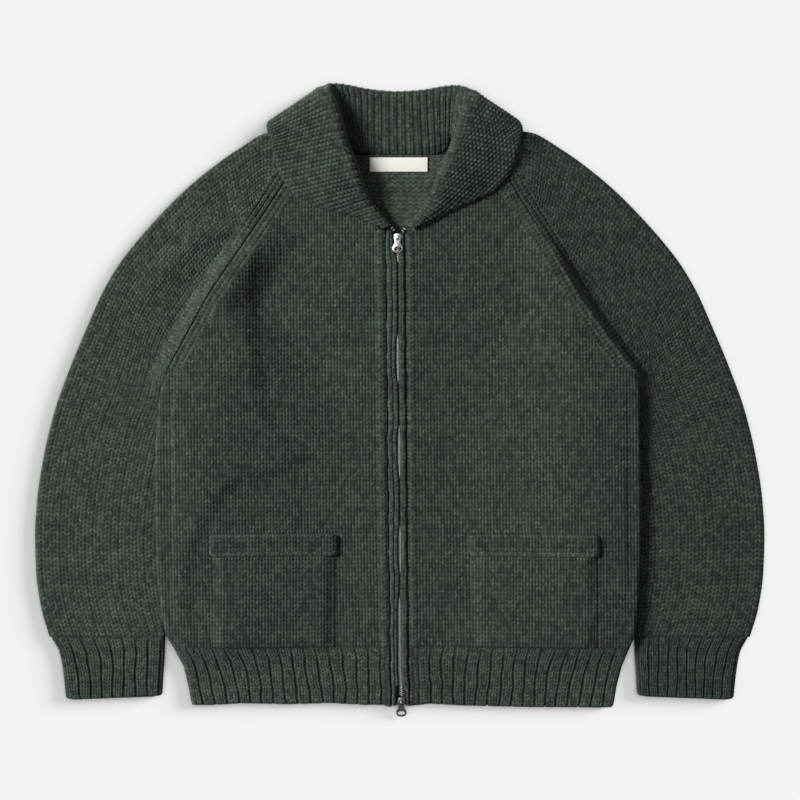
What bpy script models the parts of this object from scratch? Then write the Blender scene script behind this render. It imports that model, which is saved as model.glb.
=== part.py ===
"""Chunky knitted zip cardigan with raglan sleeves and a shawl collar, laid flat on its back.

X runs across the garment, +Y to the collar, +Z up from the surface that it lies on.
All sizes here are millimetres; to_metres() is the only change of unit.
"""

import math

import bpy
import numpy as np

# Cloth
WALL = 4.2  # thickness of the chunky plain knit
LAYER_GAP = 0.4  # air between two layers that lie on each other
SEAM = 0.3  # gap between two pieces at a seam
EDGE_ROUND = 6.0  # how far in from a side edge the cloth has its full thickness
RIB_RISE = 1.5  # height of a raised rib over its groove
SMALL_RISE = 1.1  # height of the fashioning lines and of the seed-stitch column

# Body
HEM_TOP = -296.0
HEM_BOTTOM = -366.2
ARMPIT = 34.0
NECK_FRONT = 203.0  # where the front edges end at the zip
SHOULDER = 294.0  # the top edge of the back and the fronts
HEM_RIBS_LEFT, HEM_RIBS_RIGHT = 16, 17
SEED_WIDTH = 12.0  # the seed-stitch block at each end of the front hem

# The body lies over the inner edge of each sleeve
SIDE_LIFT = 16.0
# Height, then how far in from the side edge the lifted part and its slope end
LIFT_LEFT = [(-70, 50, 230), (0, 60, 225), (60, 56, 130), (110, 12, 66), (168, 9, 54)]
LIFT_RIGHT = [(-70, 60, 240), (30, 50, 190), (110, 9, 64), (168, 9, 50)]
LIFT_ROUND = 0.28  # share of the slope that is rounded at each end
EDGE_DIP, EDGE_DIP_WIDTH = 0.20, 54.0  # the sides droop a little toward their edges
EDGE_DIP_FADE = (60.0, 120.0)  # heights over which that droop ends
RAGLAN_RIDGE = (140.0, 236.0)  # the ridge along the seam fades between these heights
SLEEVE_RAMP_LEFT, SLEEVE_RAMP_RIGHT = 21.0, 12.0  # the sleeve falls away from the ridge over these widths
SLEEVE_DROP = 1.7  # over 1, the right sleeve falls away steeply at first
SLEEVE_RISES = (-8.0, 44.0)  # heights between which the sleeve's edge comes up to the body's
LINES_END = 252.0  # the fashioning lines stop where the collar covers them

# Zip
ZIP_TOP_X, ZIP_BOTTOM_X = -2.6, 2.0
GROOVES = [(-362, 11.6, 9.0), (-150, 13.4, 8.7), (203, 14.0, 8.6)]  # height, width of each zip band
TAPE_Z = (6.2, 7.0)
CHAIN_Z = (5.6, 7.6)
CHAIN_WIDTH = 5.0
TAPE_INNER, TAPE_OUTER = 2.8, 8.2
BAND_Z = (7.9, 11.4)
HINGE_Z = 11.4
SLIDER_TOP_Y, SLIDER_BOTTOM_Y = 195.0, -362.0
PULL_TILT_TOP, PULL_TILT_BOTTOM = 5.0, -19.0

# Side edges of the body up to the armpit: height, left x, right x
BODY_EDGE = [
    (-366.2, -249.5, 256),
    (-331, -256, 263),
    (-312, -262, 269),
    (-293, -272, 276),
    (-278, -280, 281),
    (-193, -290, 287),
    (-132, -292, 288.5),
    (-71, -292, 287.5),
    (6, -286, 286.5),
    (34, -278, 281.5),
]
# Raglan seams above the armpit: height, left x, right x
RAGLAN = [
    (34, -278, 281.5),
    (72, -257, 252),
    (126, -227, 214),
    (180, -191, 184),
    (240, -152, 146),
    (270, -132, 128),
    (294, -116, 113),
]
# Front neck edge above the zip: height, distance from the middle
NECK_EDGE = [(203, 16), (215, 27), (228, 40), (241, 51), (258, 62), (274, 68), (294, 71)]
# Inner edge of each sleeve where the body covers it: height, left x, right x
UNDERARM_EDGE = [(-284, -280, 282), (-193, -279, 281.5), (-60, -281, 281.5)]
TUCK = (-38.0, -14.0)  # below this the edge is under the body, above it lies beside the body
TUCK_GAP = 0.45
# Sleeve, from cuff to neck: outer x, outer y, height of the inner end of the same section
SLEEVE = [
    (420.5, -284, -284),
    (430.5, -250, -252),
    (436.5, -208, -214),
    (438, -162, -172),
    (435.5, -120, -130),
    (428, -70, -84),
    (415, -15, -40),
    (397, 36, -14),
    (374, 91, 12),
    (356.5, 130, 34),
    (337, 163, 52),
    (312, 195, 80),
    (284, 226, 110),
    (256, 253.5, 140),
    (228, 277, 170),
    (195, 300.5, 203),
    (158, 320.5, 228),
    (140, 323, 252),
    (116, 331, 274),
    (103, 335, 294.3),
    (86, 337.5, 294.3),
]
SLEEVE_NECK = 86.0  # the inner end of the last section, above the top edge of the front

SLEEVE_TUBE_SECTIONS = 10  # up to the armpit the section is a closed ring
# Cuff, from its top down: outer x, outer y, inner x, inner y
CUFF = [
    (418, -284.5, 281.5, -284.5),
    (408, -304, 282, -304),
    (403.5, -330, 283.5, -329),
    (400.5, -359.5, 285, -355),
]
CUFF_RIBS_LEFT, CUFF_RIBS_RIGHT = 8, 10
# Soft folds of the upper layer: three points along each, its half width and its height
FOLDS = [
    # x0, y0, x1, y1, x2, y2, half_width, rise
    (-185, 223, -240, 195, -306, 132, 15, 2.2),
    (-228, 160, -248, 138, -266, 116, 12, -1.2),
    (190, 215, 245, 180, 300, 125, 18, 1.2),
    (-51, 64, -92, 45, -131, 20, 15, -0.5),
    (117, 70, 118, 40, 120, 5, 15, -0.5),
    (95, -102, 130, -108, 168, -114, 10, -0.6),
    (-400, -60, -375, -80, -350, -85, 18, -0.5),
    (395, -30, 372, -60, 350, -95, 20, 0.7),
    (-330, -225, -352, -205, -385, -200, 16, 0.6),
]
# The upper layer stands higher outside these lines
LEFT_STEP = [
    (-168, 214), (-177, 120), (-173, 52), (-160, -22), (-112, -68),
    (-150, -86), (-200, -98), (-229, -138), (-250, -187), (-253, -236), (-246, -290),
]
RIGHT_STEP = [(140, 217), (164, 88), (158, -10), (176, -80), (215, -190), (228, -290)]
LEFT_STEP_RISE, RIGHT_STEP_RISE, STEP_WIDTH = 3.0, 1.2, 10.0
FOLD_BASE = 1.4  # the upper layer lies this far above the lower, and the folds go up and down from it
FOLD_LIMITS = (0.5, 5.0)

# Collar sections from the left front end round the back to the right front end.
# roll: where it turns over; seam: its neck edge; edge: its free edge; turn: -90 where the fall
# lies underneath, +90 where it lies on top; puff: how far the roll opens
COLLAR = [
    # roll_x, roll_y, seam_x, seam_y, edge_x, edge_y, turn, puff
    (-10, 208, -18, 206, -20, 203, 90, 0.0),
    (-22, 223, -31, 218, -47, 217, 90, 0.6),
    (-33.5, 238, -46, 232, -74, 224, 90, 1.4),
    (-39, 250, -59, 243, -104, 233, 90, 3.0),
    (-45, 266, -68, 260, -128, 247, 90, 4.0),
    (-52, 285, -75, 276, -141, 265, 90, 4.6),
    (-60, 306, -77, 292, -149, 287, 90, 4.6),
    (-67, 329, -76, 304, -154, 305, 90, 4.2),
    (-74.5, 352, -74, 312, -157, 317, 78, 3.2),
    (-82, 372, -71, 314, -158, 327, 30, 1.6),
    (-83, 379.5, -67, 314, -156, 330, -20, 1.2),
    (-73, 379.7, -63, 310, -141, 320, -70, 0.6),
    (-58, 377.5, -54, 300, -108, 300, -90, 0.0),
    (-34, 373, -34, 294.4, -52, 284, -90, 0.0),
    (-3, 370.5, -2, 294.4, -3, 281, -90, 0.0),
    (28, 372.5, 32, 294.4, 48, 284, -90, 0.0),
    (54, 377, 54, 300, 104, 300, -90, 0.0),
    (67, 378, 62, 310, 134, 321, -70, 0.6),
    (75, 375.5, 66, 314, 141, 330, -20, 1.2),
    (78, 367.5, 70, 314, 145, 327, 30, 1.6),
    (75, 350, 73, 312, 147, 319, 78, 2.4),
    (69, 328, 75, 304, 145, 311, 90, 2.2),
    (61, 306, 76, 292, 140, 290, 90, 2.4),
    (52.5, 287, 74, 276, 131, 270, 90, 2.4),
    (44, 267, 68, 260, 114, 251, 90, 2.4),
    (38, 251, 59, 243, 88, 238, 90, 2.0),
    (32, 239, 46, 232, 62, 226, 90, 1.4),
    (22, 224, 31, 218, 38, 213, 90, 0.6),
    (10, 208, 18, 206, 19, 203, 90, 0.0),
]
CLEAR = 1.6  # air between the collar and what it lies on
COLLAR_RIBS = 56
COLLAR_RIB_RISE = 1.3
# Free edge of the part of the collar that lies underneath, left to right
UNDER_EDGE = [
    (-156, 326), (-140, 318), (-108, 300), (-52, 284), (-3, 281), (48, 284), (104, 300), (134, 321),
    (146, 331),
]
UNDER_MARGIN, UNDER_RAMP = 14.0, 26.0  # full lift this far outside its edge, then a slope this long

# Pockets: left x, right x, bottom, top of the band; the band is proud and wider
POCKET_LEFT = (-223, -78, -295.0, -160.5)
POCKET_RIGHT = (86, 234, -295.0, -161.0)
POCKET_BAND = 26.0
POCKET_WALL = 3.4
POCKET_PROUD = 3.5
POCKET_CLEAR = (0.8, 1.8)  # air under the pocket at its bottom seam and at its top, over the folds

LABEL = (-36.0, 33.5, 273.5, 290.5)  # left, right, bottom, top
LABEL_THICK = 0.6

KNIT_GREEN = (0.036, 0.052, 0.040, 1)
METAL = (0.62, 0.62, 0.60, 1)
TAPE_GREY = (0.020, 0.024, 0.022, 1)
LABEL_WHITE = (0.78, 0.77, 0.74, 1)


def to_metres(points):
    return np.asarray(points, float) * 0.001


def smooth(edge0, edge1, x):
    """0 before edge0, 1 after edge1, and a soft S between them."""
    t = np.clip((np.asarray(x, float) - edge0) / (edge1 - edge0), 0, 1)
    return t * t * (3 - 2 * t)


def through(xs, ys, at):
    """A smooth curve through table rows that never overshoots them."""
    xs, ys, at = np.asarray(xs, float), np.asarray(ys, float), np.asarray(at, float)
    step = np.diff(xs)
    rate = np.diff(ys) / step
    slope = np.concatenate([[rate[0]], np.zeros(len(xs) - 2), [rate[-1]]])
    product = rate[:-1] * rate[1:]
    total = rate[:-1] + rate[1:]
    safe = np.where(np.abs(total) < 1e-12, 1, total)
    slope[1:-1] = np.where(product > 0, 2 * product / safe, 0)
    i = np.clip(np.searchsorted(xs, at, side="right") - 1, 0, len(xs) - 2)
    t = np.clip((at - xs[i]) / step[i], 0, 1)
    h = step[i]
    return (
        (2 * t**3 - 3 * t**2 + 1) * ys[i]
        + (t**3 - 2 * t**2 + t) * h * slope[i]
        + (3 * t**2 - 2 * t**3) * ys[i + 1]
        + (t**3 - t**2) * h * slope[i + 1]
    )


def column(table, number):
    return [row[number] for row in table]


def body_edge(y, hand):
    """x of the side edge or the raglan seam at this height; hand is -1 on the left, 1 on the right."""
    side = 1 if hand < 0 else 2
    low = through(column(BODY_EDGE, 0), column(BODY_EDGE, side), y)
    high = through(column(RAGLAN, 0), column(RAGLAN, side), y)
    return np.where(np.asarray(y) <= ARMPIT, low, high)


def underarm_edge(y, hand):
    covered = through(column(UNDERARM_EDGE, 0), column(UNDERARM_EDGE, 1 if hand < 0 else 2), y)
    beside = body_edge(y, hand) + hand * TUCK_GAP
    return covered + (beside - covered) * smooth(*TUCK, y)


def neck_edge(y):
    return through(column(NECK_EDGE, 0), column(NECK_EDGE, 1), y)


def zip_x(y):
    down = (NECK_FRONT - np.asarray(y, float)) / (NECK_FRONT - HEM_BOTTOM)
    return ZIP_TOP_X + (ZIP_BOTTOM_X - ZIP_TOP_X) * down


def groove(y, hand):
    """Distance from the zip's centre to the seam between its band and the front."""
    return float(np.interp(y, column(GROOVES, 0), column(GROOVES, 1 if hand < 0 else 2)))


def distance_to(line, x, y):
    """Distance from each point to a polyline."""
    best = np.full(np.shape(x), 1e9)
    for (x0, y0), (x1, y1) in zip(line[:-1], line[1:]):
        dx, dy = x1 - x0, y1 - y0
        t = np.clip(((x - x0) * dx + (y - y0) * dy) / (dx * dx + dy * dy), 0, 1)
        best = np.minimum(best, np.hypot(x - x0 - t * dx, y - y0 - t * dy))
    return best


def side_lift(x, y, on_body=True):
    """How far the body is lifted where it lies over the sleeves, and the ridge along the raglan seams."""
    x, y = np.broadcast_arrays(np.asarray(x, float), np.asarray(y, float))
    edge = np.where(x < 0, -body_edge(y, -1), body_edge(y, 1))
    inward = (edge - np.abs(x)) * (1 - 0.18 * smooth(ARMPIT - 24, ARMPIT + 12, y))
    flat, end = (
        np.where(
            x < 0,
            np.interp(y, column(LIFT_LEFT, 0), column(LIFT_LEFT, number)),
            np.interp(y, column(LIFT_RIGHT, 0), column(LIFT_RIGHT, number)),
        )
        for number in (1, 2)
    )
    slope = np.clip((inward - flat) / (end - flat), 0, 1)
    from_end = np.minimum(slope, 1 - slope)
    eased = np.where(from_end < LIFT_ROUND, from_end**2 / (2 * LIFT_ROUND), from_end - LIFT_ROUND / 2)
    eased = eased / (1 - LIFT_ROUND)
    body = np.where(slope < 0.5, 1 - eased, eased)
    droop = EDGE_DIP * (1 - smooth(0, EDGE_DIP_WIDTH, inward)) * (1 - smooth(*EDGE_DIP_FADE, y))
    body = body * (1 - droop)
    ramp = np.where(x < 0, SLEEVE_RAMP_LEFT, SLEEVE_RAMP_RIGHT)
    down = np.clip(-inward / ramp, 0, 1)
    sleeve = np.where(x < 0, 1 - smooth(0, 1, down), (1 - down) ** SLEEVE_DROP) * smooth(*SLEEVE_RISES, y)
    fade = (1 - smooth(*RAGLAN_RIDGE, y)) * smooth(-326, -282, y)
    return SIDE_LIFT * fade * (body if on_body else sleeve)


def neck_lift(x, y):
    """Everything near the neck lies on the part of the collar that is folded underneath."""
    x, y = np.broadcast_arrays(np.asarray(x, float), np.asarray(y, float))
    under = through(column(UNDER_EDGE, 0), column(UNDER_EDGE, 1), np.clip(x, -156, 146))
    inside = (y > under - 2) & (x > -158) & (x < 148)
    away = np.where(inside, 0, distance_to(UNDER_EDGE, x, y) - UNDER_MARGIN)
    return (WALL + LAYER_GAP) * (1 - smooth(0, UNDER_RAMP, away))


def upper_fold(x, y):
    """How far the upper layer stands above the lower one: its folds and troughs."""
    x, y = np.broadcast_arrays(np.asarray(x, float), np.asarray(y, float))
    rise = np.full(x.shape, FOLD_BASE)
    for x0, y0, x1, y1, x2, y2, half_width, height in FOLDS:
        away = distance_to([(x0, y0), (x1, y1), (x2, y2)], x, y)
        rise = rise + height * np.exp(-((away / half_width) ** 2))
    for line, hand, height in ((LEFT_STEP, -1, LEFT_STEP_RISE), (RIGHT_STEP, 1, RIGHT_STEP_RISE)):
        heights = sorted((py, px) for px, py in line)
        boundary = np.interp(y, [p[0] for p in heights], [p[1] for p in heights])
        away = distance_to(line, x, y) * np.where(hand * (x - boundary) > 0, 1, -1)
        edge = np.abs(body_edge(y, hand))
        on_body = smooth(0, 26, edge - np.abs(x)) * smooth(-330, -250, y) * (1 - smooth(170, 240, y))
        rise = rise + height * smooth(-STEP_WIDTH, STEP_WIDTH, away) * on_body * (hand * x > 0)
    under_body = np.where(x < 0, x > -300, x < 300) & (y < 10) & (np.abs(x) > 270)
    rise = np.where(under_body, np.minimum(rise, FOLD_BASE), rise)
    return np.clip(rise, *FOLD_LIMITS)


def lower_z(x, y, on_body=True):
    """Underside of the lower layer."""
    return neck_lift(x, y) + side_lift(x, y, on_body)


def upper_z(x, y, on_body=True):
    """Underside of the upper layer."""
    return lower_z(x, y, on_body) + WALL + LAYER_GAP + upper_fold(x, y)


def front_top(x, y):
    """Upper face of the fronts and the sleeves at any point."""
    edge = np.where(np.asarray(x) < 0, -body_edge(y, -1), body_edge(y, 1))
    on_body = np.abs(x) < edge
    return np.where(on_body, upper_z(x, y), upper_z(x, y, False)) + WALL


def edge_thickness(inward):
    """Share of the full thickness near a rounded side edge."""
    t = np.clip(inward / EDGE_ROUND, 0, 1)
    return np.maximum(np.sqrt(1 - (1 - t) ** 2), 0.22)


def material(name, colour, roughness, metallic=0.0):
    made = bpy.data.materials.new(name)
    made.use_nodes = True
    shader = made.node_tree.nodes["Principled BSDF"]
    shader.inputs["Base Color"].default_value = colour
    shader.inputs["Roughness"].default_value = roughness
    shader.inputs["Metallic"].default_value = metallic
    made.diffuse_color = colour
    return made


def add_mesh(name, points, faces, finish, smooth_faces=True):
    mesh = bpy.data.meshes.new(name)
    mesh.from_pydata([tuple(p) for p in to_metres(points)], [], [tuple(map(int, f)) for f in faces])
    mesh.materials.append(finish)
    if smooth_faces:
        mesh.shade_smooth()
    obj = bpy.data.objects.new(name, mesh)
    bpy.context.scene.collection.objects.link(obj)
    return obj


def wall(name, outer, inner, finish, ring_rows=0):
    """A closed wall between two grids of points, rows by columns; its first ring_rows rows are rings."""
    outer, inner = np.asarray(outer, float), np.asarray(inner, float)
    rows, cols = outer.shape[:2]
    number = np.arange(rows * cols).reshape(rows, cols)
    number[:ring_rows, -1] = number[:ring_rows, 0]
    other = number + rows * cols
    triangles = []

    def quad(a, b, c, d):
        triangles.extend(((a, b, c), (a, c, d)))

    for r in range(rows - 1):
        for c in range(cols - 1):
            quad(number[r, c], number[r, c + 1], number[r + 1, c + 1], number[r + 1, c])
            quad(other[r, c + 1], other[r, c], other[r + 1, c], other[r + 1, c + 1])
    for c in range(cols - 1):
        quad(number[0, c + 1], number[0, c], other[0, c], other[0, c + 1])
        quad(number[-1, c], number[-1, c + 1], other[-1, c + 1], other[-1, c])
    for r in range(max(ring_rows - 1, 0), rows - 1):
        quad(number[r, 0], number[r + 1, 0], other[r + 1, 0], other[r, 0])
        quad(number[r + 1, -1], number[r, -1], other[r, -1], other[r + 1, -1])
    points = np.concatenate([outer.reshape(-1, 3), inner.reshape(-1, 3)])
    faces = np.array(triangles)
    used, faces = np.unique(faces, return_inverse=True)
    points, faces = points[used], faces.reshape(-1, 3)
    a, b, c = (points[faces[:, k]] for k in range(3))
    if (a * np.cross(b, c)).sum() < 0:
        faces = faces[:, ::-1]
    return add_mesh(name, points, faces, finish)


def stacked(x, y, top, bottom):
    return np.stack([x, y, top], -1), np.stack([x, y, bottom], -1)


# Columns of a front, from its side edge inward and from its zip edge outward
SIDE_STEPS = np.array([0, 3, 6, 9, 12, 15, 18, 30, 46.0])
SIDE_RELIEF = np.array([0, 1, 0, 1, 0, 1, 0, 0, 0.0])
ZIP_STEPS = np.array([0, 2.5, 11.5, 14.0])
ZIP_RELIEF = np.array([0, 1, 1, 0.0])
MIDDLE_COLUMNS = 5
BACK_COLUMNS = [0, 1, 2, 5, 7, 8, 9, 10, 11, 12, 13, 17]
BODY_ROWS = np.array([
    HEM_TOP, -280, -250, -205, -160, -115, -70, -30, -6, 14, ARMPIT, 52, 66, 80, 88, 95, 102, 110, 140, 170,
    NECK_FRONT, 228, 252, 274, SHOULDER,
])


def front_columns(y, hand):
    """x and relief of the columns of one front at one height, from the side edge to the zip edge."""
    outer = float(np.abs(body_edge(y, hand))) - SEAM / 2
    if y <= NECK_FRONT:
        inner = groove(y, hand) + SEAM / 2 + hand * float(zip_x(y))
    else:
        inner = float(neck_edge(y))
    fixed = SIDE_STEPS[-1] + ZIP_STEPS[-1]
    shrink = min(1.0, 0.72 * (outer - inner) / fixed)
    from_side = outer - SIDE_STEPS * shrink
    from_zip = inner + ZIP_STEPS[::-1] * shrink
    middle = np.linspace(from_side[-1], from_zip[0], MIDDLE_COLUMNS + 2)[1:-1]
    side_lines = SIDE_RELIEF * float(ARMPIT <= y < LINES_END)
    relief = np.concatenate([side_lines, np.zeros(MIDDLE_COLUMNS), ZIP_RELIEF[::-1] * float(y <= NECK_FRONT)])
    return hand * np.concatenate([from_side, middle, from_zip]), relief, SIDE_STEPS * shrink


def make_front(name, hand, finish):
    grid_x, grid_y, top, bottom = [], [], [], []
    for y in BODY_ROWS:
        x, relief, inward = front_columns(y, hand)
        ys = np.full(x.shape, y)
        under = upper_z(x, ys)
        thick = np.full(x.shape, WALL)
        if y <= ARMPIT:
            thick[: len(inward)] = WALL * edge_thickness(inward)
        grid_x.append(x)
        grid_y.append(ys)
        bottom.append(under)
        top.append(under + thick + SMALL_RISE * relief)
    outer, inner = stacked(np.array(grid_x), np.array(grid_y), np.array(top), np.array(bottom))
    return wall(name, outer, inner, finish)


def make_back(finish):
    grid_x, top, bottom = [], [], []
    for y in BODY_ROWS:
        left, _, inward = front_columns(y, -1)
        right, _, _ = front_columns(y, 1)
        middle = np.linspace(left[-1], right[-1], 4)[1:-1]
        x = np.concatenate([left[BACK_COLUMNS], middle, right[BACK_COLUMNS][::-1]])
        ys = np.full(x.shape, y)
        over = lower_z(x, ys) + WALL
        thick = np.full(x.shape, WALL)
        if y <= ARMPIT:
            rounded = WALL * edge_thickness(inward[[0, 1, 2, 5]])
            thick[:4] = rounded
            thick[-4:] = rounded[::-1]
        grid_x.append(x)
        top.append(over)
        bottom.append(over - thick)
    grid_y = np.repeat(BODY_ROWS[:, None], len(grid_x[0]), 1)
    outer, inner = stacked(np.array(grid_x), grid_y, np.array(top), np.array(bottom))
    return wall("back", outer, inner, finish)


HEM_ROWS = np.array([HEM_TOP - SEAM, -305, HEM_BOTTOM + 2.5, HEM_BOTTOM])


def rib_columns(ribs):
    """Positions 0..1 across the ribs, three to a rib, and whether each is on a rib (1) or in a groove (0)."""
    place, high = [0.0], [0.0]
    for rib in range(ribs):
        for share, level in ((0.2, 1), (0.78, 1), (1.0, 0)):
            place.append((rib + share) / ribs)
            high.append(level)
    return np.array(place), np.array(high)


def make_hem_front(name, hand, finish):
    place, high = rib_columns(HEM_RIBS_LEFT if hand < 0 else HEM_RIBS_RIGHT)
    grid_x, top, bottom = [], [], []
    for r, y in enumerate(HEM_ROWS):
        outer = float(np.abs(body_edge(y, hand))) - SEAM / 2
        inner = groove(y, hand) + SEAM / 2 + hand * float(zip_x(y))
        ribbed = inner + SEED_WIDTH + (outer - inner - SEED_WIDTH) * place
        seed = inner + np.array([0, 2.5, SEED_WIDTH - 2.5])
        x = hand * np.concatenate([seed, ribbed])
        relief = np.concatenate([[0.3, 0.8, 0.8], high]) * RIB_RISE
        relief = relief * (0.35 if r == 0 else 1)
        ys = np.full(x.shape, y)
        under = upper_z(x, ys)
        round_end = 0.4 if r == len(HEM_ROWS) - 1 else 1.0
        thick = WALL * edge_thickness(outer - np.abs(x)) * round_end
        grid_x.append(x)
        bottom.append(under)
        top.append(under + thick + (relief - RIB_RISE * 0.4) * edge_thickness(outer - np.abs(x)) * round_end)
    grid_y = np.repeat(HEM_ROWS[:, None], len(grid_x[0]), 1)
    outer, inner = stacked(np.array(grid_x), grid_y, np.array(top), np.array(bottom))
    return wall(name, outer, inner, finish)


def make_hem_back(finish):
    grid_x, top, bottom = [], [], []
    steps = np.array([0, 3, 6, 14, 24, 36, 48, 70.0])
    for r, y in enumerate(HEM_ROWS):
        left = float(body_edge(y, -1)) + SEAM / 2
        right = float(body_edge(y, 1)) - SEAM / 2
        middle = np.linspace(left + steps[-1], right - steps[-1], 8)[1:-1]
        x = np.concatenate([left + steps, middle, right - steps[::-1]])
        ys = np.full(x.shape, y)
        over = lower_z(x, ys) + WALL
        inward = np.minimum(x - left, right - x)
        round_end = 0.4 if r == len(HEM_ROWS) - 1 else 1.0
        grid_x.append(x)
        top.append(over)
        bottom.append(over - WALL * edge_thickness(inward) * round_end)
    grid_y = np.repeat(HEM_ROWS[:, None], len(grid_x[0]), 1)
    outer, inner = stacked(np.array(grid_x), grid_y, np.array(top), np.array(bottom))
    return wall("hem_back", outer, inner, finish)


def ring_section(start, end, upper_steps, relief, tube, layer_heights):
    """One section of a sleeve or cuff: from its inner end over the top to its outer end and back underneath.

    start and end are the inner and outer ends in plan. Returns the outer and the inner points.
    """
    start, end = np.asarray(start, float), np.asarray(end, float)
    width = float(np.hypot(*(end - start)))
    along = (end - start) / width
    steps = upper_steps(width)
    lower = steps[:: max(1, (len(steps) - 1) // 6)]
    lower = np.unique(np.concatenate([steps[:3], lower, steps[-3:]]))
    across = np.concatenate([steps, lower[::-1][1:]])
    on_top = np.arange(len(across)) < len(steps)
    lift = np.concatenate([relief(steps / width), np.zeros(len(lower) - 1)])
    plan = start + across[:, None] * along
    low, high = layer_heights(plan[:, 0], plan[:, 1])
    middle = (low + WALL + high) / 2
    to_end = np.minimum(width - across, across if tube else np.full(across.shape, 1e3))
    share = np.sqrt(1 - (1 - np.clip(to_end / EDGE_ROUND, 0, 1)) ** 2)
    top_z = middle + (high + WALL + lift - middle) * share
    bottom_z = middle + (low - middle) * share
    outer_z = np.where(on_top, top_z, bottom_z)
    squeeze = WALL * 0.9
    inside = np.clip(across, squeeze if tube else 0, width - squeeze)
    inner_plan = start + inside[:, None] * along
    low_in, high_in = layer_heights(inner_plan[:, 0], inner_plan[:, 1])
    at_end = share < 0.02
    inner_z = np.where(on_top, high_in, low_in + WALL)
    inner_z = np.where(at_end, (low_in + WALL + high_in) / 2, inner_z)
    return (
        np.column_stack([plan, outer_z]),
        np.column_stack([inner_plan, inner_z]),
    )


def sleeve_heights(x, y):
    return lower_z(x, y, False), upper_z(x, y, False)


def make_sleeve(name, hand, finish):
    outer_rows, inner_rows = [], []
    for k, (outer_x, outer_y, inner_y) in enumerate(SLEEVE):
        tube = k < SLEEVE_TUBE_SECTIONS
        if tube:
            inner_x = float(underarm_edge(inner_y, hand))
        elif k == len(SLEEVE) - 1:
            inner_x = hand * SLEEVE_NECK
        else:
            inner_x = float(body_edge(inner_y, hand)) + hand * SEAM / 2
        lines = SMALL_RISE * float(not tube and inner_y < LINES_END)

        def upper_steps(width):
            edge = np.array([0, 3, 6, 9, 12, 15, 18.0]) * min(1.0, width / 70)
            far = width - np.array([6, 2.2, 0])
            return np.concatenate([edge, np.linspace(edge[-1], far[0], 6)[1:-1], far])

        def relief(share):
            pattern = np.zeros(len(share))
            pattern[[1, 3, 5]] = lines
            return pattern

        outer, inner = ring_section(
            (inner_x, inner_y), (hand * outer_x, outer_y), upper_steps, relief, tube, sleeve_heights
        )
        outer_rows.append(outer)
        inner_rows.append(inner)
    return wall(name, np.array(outer_rows), np.array(inner_rows), finish, SLEEVE_TUBE_SECTIONS)


def make_cuff(name, hand, finish):
    place, high = rib_columns(CUFF_RIBS_LEFT if hand < 0 else CUFF_RIBS_RIGHT)
    outer_rows, inner_rows = [], []
    for r, (outer_x, outer_y, inner_x, inner_y) in enumerate(CUFF):

        def upper_steps(width):
            ribbed = 6 + (width - 12) * place
            return np.concatenate([[0, 2.2], ribbed, [width - 2.2, width]])

        def relief(share):
            rows = RIB_RISE * (0.35 if r == 0 else 1.0)
            return np.concatenate([[0, 0], (high - 0.4) * rows, [0, 0]])

        outer, inner = ring_section(
            (hand * inner_x, inner_y), (hand * outer_x, outer_y), upper_steps, relief, True, sleeve_heights
        )
        outer_rows.append(outer)
        inner_rows.append(inner)
    return wall(name, np.array(outer_rows), np.array(inner_rows), finish, len(CUFF))


def unit(v):
    return v / np.maximum(np.linalg.norm(v, axis=-1, keepdims=True), 1e-9)


def collar_rows():
    """The collar's table, read at an even rib spacing along the middle of its width."""
    table = np.array(COLLAR, float)
    middle = (table[:, 0:2] + table[:, 4:6]) / 2
    along = np.concatenate([[0], np.cumsum(np.linalg.norm(np.diff(middle, axis=0), axis=1))])
    roll = np.concatenate([[0], np.cumsum(np.linalg.norm(np.diff(table[:, 0:2], axis=0), axis=1))])
    along = 0.5 * along / along[-1] + 0.5 * roll / roll[-1]
    at = np.linspace(0, 1, 2 * COLLAR_RIBS + 1)
    return np.stack([through(along, table[:, k], at) for k in range(table.shape[1])], -1)


# Across the collar, from the neck seam over the roll to the free edge: share of the stand or fall,
# extra distance from the roll, and which side of the roll (-1 stand, 1 fall)
COLLAR_STAND = [(1.0, 0.0), (0.5, 0.0), (0.0, 10.0), (0.0, 3.4)]
COLLAR_FALL = [(0.0, 3.4), (0.0, 10.0), (0.4, 0.0), (0.7, 0.0), (1.0, 0.0)]
STAND_ROOM, FALL_ROOM = 30.0, 34.0  # a narrower stand or fall has its points nearer to the roll
ROLL_RADIUS = 10.0  # distance from the roll's edge at which the collar has its full height


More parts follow.
